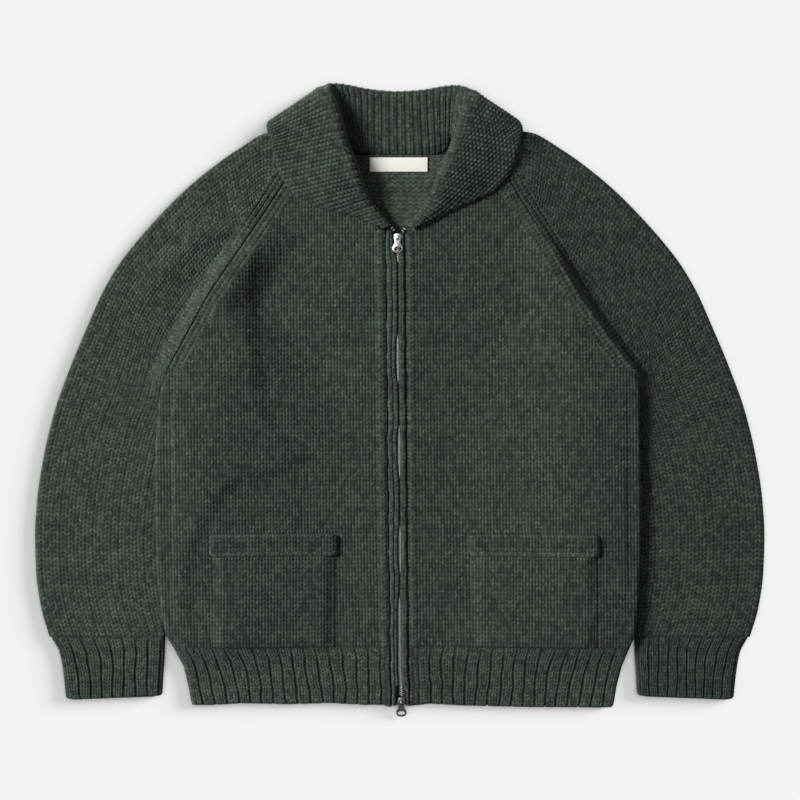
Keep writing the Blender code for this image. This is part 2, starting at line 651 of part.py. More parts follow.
def make_collar(finish):
    outer_rows, inner_rows = [], []
    rows = collar_rows()
    for k, (rx, ry, sx, sy, ex, ey, turn, puff) in enumerate(rows):
        roll, seam, edge = np.array([rx, ry]), np.array([sx, sy]), np.array([ex, ey])
        hand = -1 if k < len(rows) // 2 else 1
        end_share = min(k, len(rows) - 1 - k) / (len(rows) - 1)
        thick = WALL * float(0.6 + 0.4 * smooth(0, 0.12, end_share))
        to_seam, to_edge = unit(seam - roll), unit(edge - roll)
        stand_width, fall_width = np.hypot(*(seam - roll)), np.hypot(*(edge - roll))
        sine, cosine = math.sin(math.radians(turn)), math.cos(math.radians(turn))
        on_top = (1 + sine) / 2
        raised = COLLAR_RIB_RISE * (k % 2) - COLLAR_RIB_RISE * 0.5

        stand_tight, fall_tight = min(1, stand_width / STAND_ROOM), min(1, fall_width / FALL_ROOM)

        def place(share, extra, side, depth):
            width = stand_width if side < 0 else fall_width
            toward = to_seam if side < 0 else to_edge
            distance = share * width if share else extra * (stand_tight if side < 0 else fall_tight)
            mean = unit(to_seam + to_edge)
            mix = float(smooth(0, 16, distance))
            direction = unit(mean * (1 - mix) + toward * mix)
            flat = roll + direction * distance
            outward = np.array([-direction[1], direction[0]]) * (1 if hand > 0 else -1)
            half = thick + 0.2 + puff * float(1 - smooth(6, 30, distance))
            near_roll = 1 - min(1.0, distance / (ROLL_RADIUS * (stand_tight if side < 0 else fall_tight)))
            height = side * (half - (0 if depth == 0 else thick)) * math.sqrt(1 - near_roll**2)
            under = float(front_top(*flat)) + CLEAR
            seat = float(max(front_top(*(seam + (roll - seam) * t)) for t in (0, 0.3, 0.6))) + CLEAR
            top_centre = seat + thick + 0.2 + puff
            if side > 0:
                beyond = float(smooth(stand_width * 0.9, fall_width, distance)) if share else 0.0
                top_centre = top_centre * (1 - beyond) + (float(front_top(*edge)) + CLEAR - 0.2) * beyond
                top_centre = max(top_centre, under - 0.2)
            else:
                top_centre = top_centre - puff * float(smooth(6, 30, distance))
            bottom_centre = thick + 0.2 + puff * float(1 - smooth(6, 30, distance))
            centre = bottom_centre * (1 - on_top) + top_centre * on_top
            offset = outward * cosine * height
            return np.array([flat[0] + offset[0], flat[1] + offset[1], centre + sine * height])

        outer, inner = [], []
        for share, extra in COLLAR_STAND:
            outer.append(place(share, extra, -1, 0))
            inner.append(place(share, extra + thick * (0.5 if extra else 0), -1, 1))
        tip_direction = unit(to_seam + to_edge)
        tip_seat = (outer[-1][2] + place(0.0, 3.4, 1, 0)[2]) / 2
        tip_thick = max(1.0, thick * 1.05 * min(stand_tight, fall_tight))
        outer.append(np.array([*roll, tip_seat]))
        inner.append(np.array([*(roll + tip_direction * tip_thick), tip_seat]))
        for share, extra in COLLAR_FALL:
            outer.append(place(share, extra, 1, 0))
            inner.append(place(share, extra + thick * (0.5 if extra else 0), 1, 1))
        outer, inner = np.array(outer), np.array(inner)
        normal = unit(outer - inner)
        relief = normal * raised
        relief[:, 2] = np.where(outer[:, 2] + relief[:, 2] < 0, 0, relief[:, 2])
        side = np.arange(len(outer)) - len(COLLAR_STAND)
        hidden = side > 0 if on_top < 0.5 else side < 0
        relief[hidden] = 0
        outer_rows.append(outer + relief)
        inner_rows.append(inner)
    outer_rows = np.array(outer_rows)
    outer_rows[..., 2] = np.maximum(outer_rows[..., 2], 0)
    return wall("collar", outer_rows, np.array(inner_rows), finish)


BAND_GAPS = [
    # height, half gap between the two bands: the teeth show where it is wide
    (-362, 3.2), (-345, 3.0), (-250, 2.9), (-230, 1.0), (-208, 1.0), (-200, 2.8), (-160, 2.8),
    (-150, 0.9), (-95, 0.9), (-85, 2.8), (-40, 2.8), (-30, 0.9), (20, 0.9), (30, 2.7), (70, 2.7),
    (80, 0.8), (165, 0.9), (182, 4.4), (205, 6.2),
]
BAND_ROWS = np.array([
    HEM_BOTTOM, -350, -343, -250, -230, -204, -158, -148, -97, -83, -42, -28, 22, 32, 68, 80, 165, 182, 205,
])


def make_band(name, hand, finish):
    gaps = np.array(BAND_GAPS)
    grid_x, top, bottom = [], [], []
    for y in BAND_ROWS:
        gap = float(np.interp(y, gaps[:, 0], gaps[:, 1]))
        if y < -342:
            gap = 6.2
        centre = float(zip_x(y))
        outer = groove(y, hand) - SEAM / 2
        x = centre + hand * (outer + (gap - outer) * np.array([0, 0.2, 0.5, 0.8, 1]))
        edge = np.array([-1.5, -0.2, 0.3, -0.2, -1.5])
        grid_x.append(x)
        top.append(BAND_Z[1] + edge)
        bottom.append(np.full(x.shape, BAND_Z[0]))
    grid_y = np.repeat(BAND_ROWS[:, None], 5, 1)
    outer, inner = stacked(np.array(grid_x), grid_y, np.array(top), np.array(bottom))
    return wall(name, outer, inner, finish)


def slab(name, corners, z0, z1, finish):
    """A flat plate with a straight outline: corners run round it."""
    n = len(corners)
    points = [(x, y, z) for z in (z0, z1) for x, y in corners]
    faces = [list(range(n))[::-1], list(range(n, 2 * n))]
    faces += [[i, (i + 1) % n, n + (i + 1) % n, n + i] for i in range(n)]
    return add_mesh(name, points, faces, finish, False)


def make_zip_strips(tape_finish, metal):
    tape_low, tape_high = HEM_BOTTOM + 4, NECK_FRONT + 2
    chain_low, chain_high = SLIDER_BOTTOM_Y + 7.5, SLIDER_TOP_Y - 7.5

    def strip(name, near, far, low, high, z, finish):
        corners = [
            (zip_x(low) + near, low), (zip_x(low) + far, low),
            (zip_x(high) + far, high), (zip_x(high) + near, high),
        ]
        return slab(name, corners, *z, finish)

    strip("zip_tape_left", -TAPE_OUTER, -TAPE_INNER, tape_low, tape_high, TAPE_Z, tape_finish)
    strip("zip_tape_right", TAPE_INNER, TAPE_OUTER, tape_low, tape_high, TAPE_Z, tape_finish)
    strip("zip_chain", -CHAIN_WIDTH / 2, CHAIN_WIDTH / 2, chain_low, chain_high, CHAIN_Z, metal)


def boolean(target, tool, operation):
    modifier = target.modifiers.new(operation.lower(), "BOOLEAN")
    modifier.operation = operation
    modifier.object = tool
    bpy.context.view_layer.update()
    graph = bpy.context.evaluated_depsgraph_get()
    mesh = bpy.data.meshes.new_from_object(target.evaluated_get(graph))
    target.modifiers.remove(modifier)
    target.data = mesh
    bpy.data.objects.remove(tool)


def arch(name, centre_y, centre_z, radius_in, radius_out, foot_z, width, centre_x, finish):
    """The slider's loop: a half ring on two short legs, seen from the side."""
    steps = 8
    profile = []
    for radius, order in ((radius_out, 1), (radius_in, -1)):
        turns = [math.pi * i / steps for i in range(steps + 1)][::order]
        arc = [(centre_y + radius * math.cos(t), centre_z + radius * math.sin(t)) for t in turns]
        feet = ((arc[0][0], foot_z), (arc[-1][0], foot_z))
        profile += [feet[0], *arc, feet[1]]
    n = len(profile)
    points = [(centre_x + side * width / 2, y, z) for side in (-1, 1) for y, z in profile]
    faces = []
    for i in range(n):
        j = (i + 1) % n
        faces.append([i, j, n + j, n + i])
    half = n // 2
    for i in range(half - 1):
        a, b, c, d = i, i + 1, n - 2 - i, n - 1 - i
        faces.append([d, c, b, a])
        faces.append([n + a, n + b, n + c, n + d])
    return add_mesh(name, points, faces, finish, False)


SLIDER_LOOP = (1.15, 2.35, 2.3)  # inner and outer radius, width
SLIDER_PLATES = ((4.6, 5.3), (7.9, 9.1))


def make_slider(name, centre_y, centre_x, way, metal):
    """way is 1 where the slider closes the zip upwards and -1 where it closes it downwards."""
    outline = [
        (-3.4, -5.4), (3.4, -5.4), (4.6, -1.6), (5.2, 2.6),
        (2.2, 4.6), (-2.2, 4.6), (-5.2, 2.6), (-4.6, -1.6),
    ]
    corners = [(centre_x + x, centre_y + way * y) for x, y in outline][::way]
    lower, upper = SLIDER_PLATES
    body = slab(name, corners, upper[0], upper[1], metal)
    base = slab("base", corners, lower[0], lower[1], metal)
    post_corners = [(centre_x + x, centre_y + way * y) for x, y in ((0, 0.8), (1.3, 3.8), (-1.3, 3.8))][::way]
    post = slab("post", post_corners, lower[0] + 0.2, upper[1] - 0.3, metal)
    radius_in, radius_out, width = SLIDER_LOOP
    loop = arch("loop", centre_y, HINGE_Z, radius_in, radius_out, upper[1] - 0.4, width, centre_x, metal)
    for piece in (post, base, loop):
        boolean(body, piece, "UNION")
    return body


PULL_OUTLINE = [
    # distance from the hinge, half width
    (-0.65, 3.6), (2.0, 3.9), (4.8, 3.5), (7.8, 3.5), (9.6, 5.0),
    (11.8, 6.2), (14.4, 6.4), (17.2, 5.2), (18.9, 3.0),
]
PULL_THICK = 1.3
PULL_HOLE = (14.2, 2.8, 4.4)  # centre, half length, half width
PULL_SLOT = (0.65, 3.6, 1.6)  # from, to, half width


def make_pull(name, centre_x, centre_y, tilt, metal):
    """The tab hangs from its hinge toward -Y; its cross bar lies in the slider's loop."""
    right = [(w, -d) for d, w in PULL_OUTLINE]
    left = [(-w, -d) for d, w in PULL_OUTLINE][::-1]
    corners = (right + left)[::-1]
    made = slab(name, corners, -PULL_THICK / 2, PULL_THICK / 2, metal)
    start, end, half = PULL_SLOT
    slot = slab("slot", [(-half, -end), (half, -end), (half, -start), (-half, -start)], -3, 3, metal)
    boolean(made, slot, "DIFFERENCE")
    centre, half_long, half_wide = PULL_HOLE
    oval = [
        (half_wide * math.cos(2 * math.pi * i / 20), -centre + half_long * math.sin(2 * math.pi * i / 20))
        for i in range(20)
    ]
    boolean(made, slab("oval", oval, -3, 3, metal), "DIFFERENCE")
    hinge = bpy.data.objects.new(name + "_hinge", None)
    hinge.location = to_metres((centre_x, centre_y, HINGE_Z))
    hinge.rotation_euler = (math.radians(-tilt), 0, 0)
    bpy.context.scene.collection.objects.link(hinge)
    made.parent = hinge
    return made


def pocket_seat(x, y, box):
    """Underside of a pocket over the front that it lies on."""
    up = (y - box[2]) / (box[3] - box[2])
    return front_top(x, y) + POCKET_CLEAR[0] + (POCKET_CLEAR[1] - POCKET_CLEAR[0]) * up


def make_pocket(name, band_name, box, finish):
    left, right, low, high = box
    seam = high - POCKET_BAND
    x, y = np.meshgrid(np.linspace(left, right, 21), np.linspace(low, seam - SEAM, 13))
    under = pocket_seat(x, y, box)
    inward = np.minimum(x - left, right - x)
    thick = POCKET_WALL * np.maximum(edge_thickness(inward), 0.3)
    thick[0] *= 0.5
    outer, inner = stacked(x, y, under + thick, under)
    wall(name, outer, inner, finish)
    x, y = np.meshgrid(np.linspace(left - POCKET_PROUD, right + POCKET_PROUD, 15), np.linspace(seam, high, 5))
    under = pocket_seat(x, y, box)
    profile = np.array([0.75, 1.45, 1.25, 1.35, 0.6])[:, None]
    side = np.maximum(edge_thickness(np.minimum(x - x.min(), x.max() - x)), 0.3)
    outer, inner = stacked(x, y, under + POCKET_WALL * profile * side, under)
    wall(band_name, outer, inner, finish)


def make_label(finish):
    left, right, low, high = LABEL
    x, y = np.meshgrid([left, right], np.linspace(low, high, 3))
    under = lower_z(x, y) + WALL + 0.3
    outer, inner = stacked(x, y, under + LABEL_THICK, under)
    wall("label", outer, inner, finish)


def main():
    for obj in list(bpy.data.objects):
        bpy.data.objects.remove(obj)
    knit = material("knit", KNIT_GREEN, 0.95)
    rib = material("rib_knit", KNIT_GREEN, 0.95)
    metal = material("metal", METAL, 0.3, 1.0)
    tape = material("tape", TAPE_GREY, 0.85)
    white = material("label_cloth", LABEL_WHITE, 0.8)
    make_back(knit)
    make_hem_back(rib)
    for side, hand in (("left", -1), ("right", 1)):
        make_front("front_" + side, hand, knit)
        make_hem_front("hem_" + side, hand, rib)
        make_sleeve("sleeve_" + side, hand, knit)
        make_cuff("cuff_" + side, hand, rib)
        make_band("band_" + side, hand, knit)
    make_pocket("pocket_left", "pocket_band_left", POCKET_LEFT, knit)
    make_pocket("pocket_right", "pocket_band_right", POCKET_RIGHT, knit)
    make_collar(rib)
    make_zip_strips(tape, metal)
    make_slider("slider_top", SLIDER_TOP_Y, float(zip_x(SLIDER_TOP_Y)), 1, metal)
    make_slider("slider_bottom", SLIDER_BOTTOM_Y, float(zip_x(SLIDER_BOTTOM_Y)), -1, metal)
    make_pull("pull_top", float(zip_x(SLIDER_TOP_Y)), SLIDER_TOP_Y, PULL_TILT_TOP, metal)
    make_pull("pull_bottom", float(zip_x(SLIDER_BOTTOM_Y)), SLIDER_BOTTOM_Y, PULL_TILT_BOTTOM, metal)
    make_label(white)


main()
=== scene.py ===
"""Chunky knitted zip cardigan laid flat: the surface that shows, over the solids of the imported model.

Lengths are millimetres until add_mesh() turns them into metres. Left and right are the picture's, and a hand is
-1 on the left and 1 on the right.
"""

import math

import bpy
import numpy as np
from mathutils import Matrix, Vector


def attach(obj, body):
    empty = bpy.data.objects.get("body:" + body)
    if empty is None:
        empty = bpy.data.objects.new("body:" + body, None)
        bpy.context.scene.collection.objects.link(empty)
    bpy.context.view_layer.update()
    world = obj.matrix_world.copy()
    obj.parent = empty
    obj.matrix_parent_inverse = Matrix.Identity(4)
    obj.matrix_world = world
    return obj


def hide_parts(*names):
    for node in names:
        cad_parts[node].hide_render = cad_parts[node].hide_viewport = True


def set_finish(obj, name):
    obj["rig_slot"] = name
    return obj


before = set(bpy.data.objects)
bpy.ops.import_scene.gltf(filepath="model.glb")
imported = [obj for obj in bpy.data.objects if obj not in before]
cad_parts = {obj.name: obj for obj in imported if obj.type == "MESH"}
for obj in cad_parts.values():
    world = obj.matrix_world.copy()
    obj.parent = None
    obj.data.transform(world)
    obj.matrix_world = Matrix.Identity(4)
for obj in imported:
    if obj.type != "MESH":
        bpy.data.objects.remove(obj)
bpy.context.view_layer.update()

# Cloth
WALL = 4.2  # thickness of the chunky plain knit
LAYER_GAP = 0.4  # air between two layers that lie on each other
SEAM = 0.3  # gap between two pieces at a seam
EDGE_ROUND, EDGE_THIN = 6.0, 0.22  # how far in from a side edge the full thickness is, and the edge's share of it

# Body
HEM_TOP, HEM_BOTTOM = -296.0, -366.2
ARMPIT = 34.0
NECK_FRONT = 203.0  # where the front edges end at the zip
SHOULDER = 294.0  # the top edge of the back and the fronts
SEED_WIDTH = 12.0  # the seed-stitch block at each end of the front hem
HEM_RIBS = {-1: 16, 1: 17}

# The body lies over the inner edge of each sleeve
SIDE_LIFT = 16.0
# Height, then how far in from the side edge the lifted part and its slope end
LIFT_LEFT = [(-70, 50, 230), (0, 60, 225), (60, 56, 130), (110, 12, 66), (168, 9, 54)]
LIFT_RIGHT = [(-70, 60, 240), (30, 50, 190), (110, 9, 64), (168, 9, 50)]
LIFT_ROUND = 0.28  # share of the slope that is rounded at each end
EDGE_DIP, EDGE_DIP_WIDTH = 0.20, 54.0  # the sides droop a little toward their edges
EDGE_DIP_FADE = (60.0, 120.0)  # heights over which that droop ends
RAGLAN_RIDGE = (140.0, 236.0)  # the ridge along the seam fades between these heights
LIFT_START = (-326.0, -282.0)  # heights at the hem over which the lift grows
RAGLAN_SLANT = 0.18  # above the armpit the seam slants, so that the way in from it is shorter by this share
SLEEVE_RAMPS = (21.0, 12.0)  # the left and right sleeves fall away from the ridge over these widths
SLEEVE_DROP = 1.7  # over 1, the right sleeve falls away steeply at first
SLEEVE_RISES = (2.0, 36.0)  # heights between which the sleeve's edge comes up to the body's

# Zip
ZIP_TOP_X, ZIP_BOTTOM_X = -2.6, 2.0
GROOVES = [(-362, 11.6, 9.0), (-150, 13.4, 8.7), (203, 14.0, 8.6)]  # height, width of each zip band
TAPE_Z, TAPE_SPAN = (6.2, 7.0), (2.8, 8.2)
TEETH_Z = 6.85
BAND_Z = (7.9, 11.4)
HINGE_Z = 11.4
SLIDER_TOP_Y, SLIDER_BOTTOM_Y = 195.0, -362.0
PULL_TILT_TOP, PULL_TILT_BOTTOM = 5.0, -19.0

# Side edges of the body up to the armpit, then its raglan seams: height, left x, right x
BODY_EDGE = [
    (-366.2, -249.5, 256), (-331, -256, 263), (-312, -262, 269), (-293, -272, 276), (-278, -280, 281),
    (-193, -290, 287), (-132, -292, 288.5), (-71, -292, 287.5), (6, -286, 286.5), (34, -278, 281.5),
]
RAGLAN = [
    (34, -278, 281.5), (72, -257, 252), (126, -227, 214), (180, -191, 184), (240, -152, 146), (270, -132, 128),
    (294, -116, 113),
]
# Front neck edge above the zip: height, distance from the middle
NECK_EDGE = [(203, 16), (215, 27), (228, 40), (241, 51), (258, 62), (274, 68), (294, 71)]
# Inner edge of each sleeve where the body covers it: height, left x, right x
UNDERARM_EDGE = [(-284, -280, 282), (-193, -279, 281.5), (-60, -281, 281.5)]
TUCK = (-38.0, -14.0)  # below this the edge is under the body, above it lies beside the body
TUCK_GAP = 0.45
TUCKED_IN = 6.0  # how far the sleeve reaches under the body's edge just below the armpit
# Sleeve, from cuff to neck: outer x, outer y, height of the inner end of the same section
SLEEVE = [
    (420.5, -284, -284), (430.5, -250, -252), (436.5, -208, -214), (438, -162, -172), (435.5, -120, -130),
    (428, -70, -84), (415, -15, -40), (397, 36, -14), (374, 91, 12), (356.5, 130, 34), (337, 163, 52),
    (312, 195, 80), (284, 226, 110), (256, 253.5, 140), (228, 277, 170), (195, 300.5, 203), (158, 320.5, 228),
    (140, 323, 252), (116, 331, 274), (103, 335, 294.3), (86, 337.5, 294.3),
]
SLEEVE_NECK = 86.0  # the inner end of the last section, above the top edge of the front
# Cuff, from its top down: outer x, outer y, inner x, inner y
CUFF = [
    (418, -284.5, 281.5, -284.5), (408, -304, 282, -304), (403.5, -330, 283.5, -329), (400.5, -359.5, 285, -355),
]
CUFF_RIBS = {-1: 8, 1: 10}
CUFF_CORNER = 4.8  # radius of the cuffs' open corners in plan
# Soft folds of the upper layer: three points along each, its half width and its height
FOLDS = [
    (-185, 223, -240, 195, -306, 132, 15, 2.2),
    (-228, 160, -248, 138, -266, 116, 12, -1.2),
    (190, 215, 245, 180, 300, 125, 18, 1.2),
    (-51, 64, -92, 45, -131, 20, 15, -0.5),
    (117, 70, 118, 40, 120, 5, 15, -0.5),
    (95, -102, 130, -108, 168, -114, 10, -0.6),
    (-400, -60, -375, -80, -350, -85, 18, -0.5),
    (395, -30, 372, -60, 350, -95, 20, 0.7),
    (-330, -225, -352, -205, -385, -200, 16, 0.6),
]
# The upper layer stands higher outside these lines: hand, rise, points
STEPS = [
    (-1, 3.0, [(-168, 214), (-177, 120), (-173, 52), (-160, -22), (-112, -68), (-150, -86), (-200, -98),
               (-229, -138), (-250, -187), (-253, -236), (-246, -290)]),
    (1, 1.2, [(140, 217), (164, 88), (158, -10), (176, -80), (215, -190), (228, -290)]),
]
STEP_WIDTH = 10.0
STEP_STARTS, STEP_ENDS, STEP_AT_EDGE = (-330, -250), (170, 240), (0, 26)  # where the steps fade, up and inward
FOLD_BASE = 1.4  # the upper layer lies this far above the lower, and the folds go up and down from it
FOLD_LIMITS = (0.5, 5.0)
COVERED = (270, 300, 10)  # no fold rises where the body covers the sleeve: from, to, and below this height

# Collar sections from the left front end round the back to the right front end.
# roll: where it turns over; seam: its neck edge; edge: its free edge; turn: -90 where the fall
# lies underneath, +90 where it lies on top; puff: how far the roll opens
COLLAR = [
    # roll_x, roll_y, seam_x, seam_y, edge_x, edge_y, turn, puff
    (-10, 208, -18, 206, -20, 203, 90, 0.0),
    (-22, 223, -31, 218, -47, 217, 90, 0.6),
    (-33.5, 238, -46, 232, -74, 224, 90, 1.4),
    (-39, 250, -59, 243, -104, 233, 90, 3.0),
    (-45, 266, -68, 260, -128, 247, 90, 4.0),
    (-52, 285, -75, 276, -141, 265, 90, 4.6),
    (-60, 306, -77, 292, -149, 287, 90, 4.6),
    (-67, 329, -76, 304, -154, 305, 90, 4.2),
    (-74.5, 352, -74, 312, -157, 317, 78, 3.2),
    (-82, 372, -71, 314, -158, 327, 30, 1.6),
    (-83, 379.5, -67, 314, -156, 330, -20, 1.2),
    (-73, 379.7, -63, 310, -141, 320, -70, 0.6),
    (-58, 377.5, -54, 300, -108, 300, -90, 0.0),
    (-34, 373, -34, 294.4, -52, 284, -90, 0.0),
    (-3, 370.5, -2, 294.4, -3, 281, -90, 0.0),
    (28, 372.5, 32, 294.4, 48, 284, -90, 0.0),
    (54, 377, 54, 300, 104, 300, -90, 0.0),
    (67, 378, 62, 310, 134, 321, -70, 0.6),
    (75, 375.5, 66, 314, 141, 330, -20, 1.2),
    (78, 367.5, 70, 314, 145, 327, 30, 1.6),
    (75, 350, 73, 312, 147, 319, 78, 2.4),
    (69, 328, 75, 304, 145, 311, 90, 2.2),
    (61, 306, 76, 292, 140, 290, 90, 2.4),
    (52.5, 287, 74, 276, 131, 270, 90, 2.4),
    (44, 267, 68, 260, 114, 251, 90, 2.4),
    (38, 251, 59, 243, 88, 238, 90, 2.0),
    (32, 239, 46, 232, 62, 226, 90, 1.4),
    (22, 224, 31, 218, 38, 213, 90, 0.6),
    (10, 208, 18, 206, 19, 203, 90, 0.0),
]
CLEAR = 1.6  # air between the collar and what it lies on
COLLAR_RIBS = 56
COLLAR_RIB_ROWS = 6  # rows of points to each rib
COLLAR_RIB_GAP = 0.28
COLLAR_RIB_RISE = 0.91
FALL_STITCHES = (5, 20)  # past the roll, the ribs give way to rows of round loops over this way
BEAD = 4.8  # length of a stitch on the collar's fall
STAND_COLUMNS, FALL_COLUMNS = 54, 84
STAND_CROWDING, FALL_CROWDING = 1.12, 1.06  # over 1, the columns lie closer toward the roll
ROLL_RADIUS, FALL_ROOM = 10.0, 34.0  # a fall narrower than this has a smaller roll
ROLL_AIR = 0.2  # from the middle of the roll to its inner face, where it is tight
ROLL_BLEND, PUFF_ENDS = (0, 16), (6, 30)  # from the roll, it turns straight and closes over these ways
COLLAR_SEAT_SHARES = (0, 0.3, 0.6)  # places between neck edge and roll that the stand has to clear
# Hidden side, as side and share of its width
COLLAR_INNER = [(-1, 1.0), (-1, 0.5), (-1, 0.2), (1, 0.2), (1, 0.4), (1, 0.7), (1, 1.0)]
# Free edge of the part of the collar that lies underneath, left to right
UNDER_EDGE = [
    (-156, 326), (-140, 318), (-108, 300), (-52, 284), (-3, 281), (48, 284), (104, 300), (134, 321), (146, 331),
]
UNDER_MARGIN, UNDER_RAMP = 14.0, 26.0  # full lift this far outside its edge, then a slope this long

# Pockets: left x, right x, bottom, top of the band; the band is proud and wider
POCKETS = {-1: (-223, -78, -295.0, -160.5), 1: (86, 234, -295.0, -161.0)}
POCKET_BAND = 26.0
POCKET_WALL = 3.4
POCKET_PROUD = 3.5
POCKET_CLEAR = (0.8, 1.8)  # air under the pocket at its bottom seam and at its top, over the folds
# Pocket band, from its lower to its upper edge: share of the way, share of the wall
POCKET_BAND_PROFILE = [(0, 0.85), (0.1, 1.4), (0.2, 1.4), (0.45, 1.15), (0.75, 1.3), (0.9, 1.2), (1.0, 0.7)]

LABEL = (-36.0, 33.5, 273.5, 290.5)  # left, right, bottom, top
LABEL_THICK, LABEL_CLEAR, LABEL_BOW = 0.6, 0.75, 0.35

# Height, half gap between the two bands: the teeth show where it is wide
BAND_GAPS = [
    (-362, 3.2), (-345, 3.0), (-250, 2.9), (-230, 1.0), (-208, 1.0), (-200, 2.8), (-160, 2.8), (-150, 0.9),
    (-95, 0.9), (-85, 2.8), (-40, 2.8), (-30, 0.9), (20, 0.9), (30, 2.7), (70, 2.7), (80, 0.8), (165, 0.9),
    (182, 4.4), (205, 6.2),
]
CLOSED_BELOW, CLOSED_GAP = 2.0, 0.06  # a table gap under the first is closed: rounded edges that nearly meet
OPEN_SHARE, OPEN_BELOW = 0.75, 100  # part of the table's open gaps below this height
HEM_GAP = (-342, 6.2)  # below this height the bands leave room for the lower slider
BAND_TOP = 205
BAND_LOOP = 4.8  # length of the loops along the zip bands
TEETH_LEAN = [(-345, 0), (-322, -1.3), (-235, -1.3), (-200, 0), (0, 0), (25, -1.0), (70, -1.0), (100, 0)]
TOOTH_PITCH, TOOTH, TOOTH_ASIDE = 2.5, (3.3, 1.25, 1.9), 0.95  # tooth: width, length, height
STUB_TEETH = [(-9.6, 206, 1), (-7.2, 203.6, 1), (5.3, 205, -1), (3.4, 202.6, -1)]  # x, y, the way they lean
STUB_Z, STUB_TURN = 11.9, 0.75
# Slider, with the teeth leaving it upward: outline, post between its plates, heights of both plates
SLIDER = [
    (-3.4, -5.4), (3.4, -5.4), (4.6, -1.6), (5.2, 2.6), (2.2, 4.6), (-2.2, 4.6), (-5.2, 2.6), (-4.6, -1.6),
]
SLIDER_POST = [(0, 0.8), (1.3, 3.8), (-1.3, 3.8)]
SLIDER_PLATES = ((4.6, 5.3), (7.9, 9.1))
SLIDER_LOOP = (1.15, 2.35, 2.3)  # inner and outer radius, width
# Pull tab: distance from the hinge, half width
PULL_OUTLINE = [
    (-0.65, 3.6), (2.0, 3.9), (4.8, 3.5), (7.8, 3.5), (9.6, 5.0), (11.8, 6.2), (14.4, 6.4), (17.2, 5.2),
    (18.9, 3.0),
]
PULL_POINTS = 64
PULL_THICK, PULL_BEVEL = 1.3, 0.3
PULL_HOLE = (14.2, 2.8, 4.4)  # centre, half length, half width
PULL_SLOT = (0.65, 3.6, 1.6)  # from, to, half width

# Stitches: widths and heights of one, and how finely the surface follows them
WALE, COURSE = 7.4, 5.2
SLEEVE_WALE, SLEEVE_COURSE = 8.8, 5.4
ACROSS, ALONG = WALE / 6, COURSE / 4
LEAN = 0.6  # how far a loop rises over half a wale, in courses
# Loops: roundness across, least height and fullness along
PLAIN_LOOP, RIB_LOOP = (0.55, 0.1, 1.8), (0.6, 0.08, 2.2)
STITCH_RISE = 1.3
SMALL_RISE = 1.1  # height of the fashioning lines and of the column beside the zip
SLEEVE_RELIEF = 1.25  # the sleeves' stitches are larger than the body's
BAND_RELIEF = 1.5
LEVEL = 0.45  # the relief's value that lies at the cloth's own thickness
BORDER_WIDTH, BORDER_WALE = 18.0, 6.0  # the fashioning columns along each raglan seam
RAGLAN_SLOPE = (-0.529, 0.849)  # direction of the seams, in distance from the middle and height
ZIP_COLUMN, ZIP_COLUMN_WIDTH = 2.5, 9.0  # the wide column beside the zip: its start and width
ZIP_COLUMN_EDGES = (2.0, 3.0), (11.0, 12.0)
SEAM_FADE = (70, 125)  # heights over which the raglan seam becomes a groove
RIB_GAP = 0.15  # the groove's share of a rib's pitch
RIB_RISE = 0.63  # height of a raised rib over its groove, under the relief of its stitches
RIB_COURSE, RIB_ALONG = 4.4, 1.1
HEM_RIB_COLUMNS, CUFF_RIB_COLUMNS = 16, 18  # columns of points to each rib
GROOVE_RELIEF = 0.45  # the purl stitches in the grooves, beside those on the ribs
RIBS_GROW = (0, 22)  # the ribs reach their height this far from the seam above them
# How far the hem's lower edge is above its straight line, from left to right
HEM_WAVE = [
    (-262, 0.4), (-225, 0.4), (-206, 1.5), (-190, 2.4), (-160, 2.0), (-139, 1.2), (-119, 1.7), (-84, 2.8),
    (-62, 1.7), (-43, 0.4), (-30, 0.8), (-22, 0.2), (-13, -2.4), (10, -1.6), (22, -0.3), (32, 2.2), (44, 1.6),
    (70, 0), (118, -1.2), (160, -2.2), (205, -2.3), (240, -2.8), (262, -1.5),
]
KNIT_INNER_STEP = 22  # every so many rows on the hidden side of a wall
UNDER_RELIEF = 0.5  # stands in the knit values where a bump takes the relief's place
# Places over the width of a tube's hidden side and of its underside
INSIDE_SHARES = np.array([0, 0.06, 0.3, 0.6, 0.76, 0.82, 0.87, 0.91, 0.94, 0.97, 0.985, 1])
UNDER_SHARES = np.array([0, 0.02, 0.05, 0.12, 0.25, 0.4, 0.55, 0.7, 0.82, 0.91, 0.96, 0.985, 1])
BACK_RIM = np.array([0, 0.8, 2, 4, 6, 12, 20, 32, 46.0])  # columns of the back near its side edges
BACK_FINE = (84.0, 196.0)  # half width and lower end of the part of the back that shows in the neck

# Each sheet: material slot, flat size, area, what it rests on
SHEETS = {
    "back": ("knit", (0.58, 0.59), 0.291, []),
    "front": ("knit", (0.28, 0.59), 0.137, ["back"]),
    "sleeve": ("knit", (0.32, 0.70), 0.160, ["back"]),
    "cuff": ("rib_knit", (0.27, 0.072), 0.0177, []),
    "hem": ("rib_knit", (0.26, 0.066), None, ["hem_back"]),
    "hem_back": ("rib_knit", (0.545, 0.066), None, []),
    "collar": ("rib_knit", (0.56, 0.176), 0.0595, ["front_left", "front_right"]),
    "band_left": ("knit", (0.013, 0.567), None, []),
    "band_right": ("knit", (0.0105, 0.567), None, []),
    "pocket_left": ("knit", (0.15, 0.108), None, ["front_left"]),
    "pocket_right": ("knit", (0.15, 0.108), None, ["front_right"]),
    "pocket_band_left": ("knit", (0.157, 0.026), None, ["front_left"]),
    "pocket_band_right": ("knit", (0.157, 0.026), None, ["front_right"]),
    "zip_tape": ("tape", (0.0125, 0.567), 0.0035, []),
    "label": ("label_cloth", (0.0695, 0.017), None, ["back"]),
}


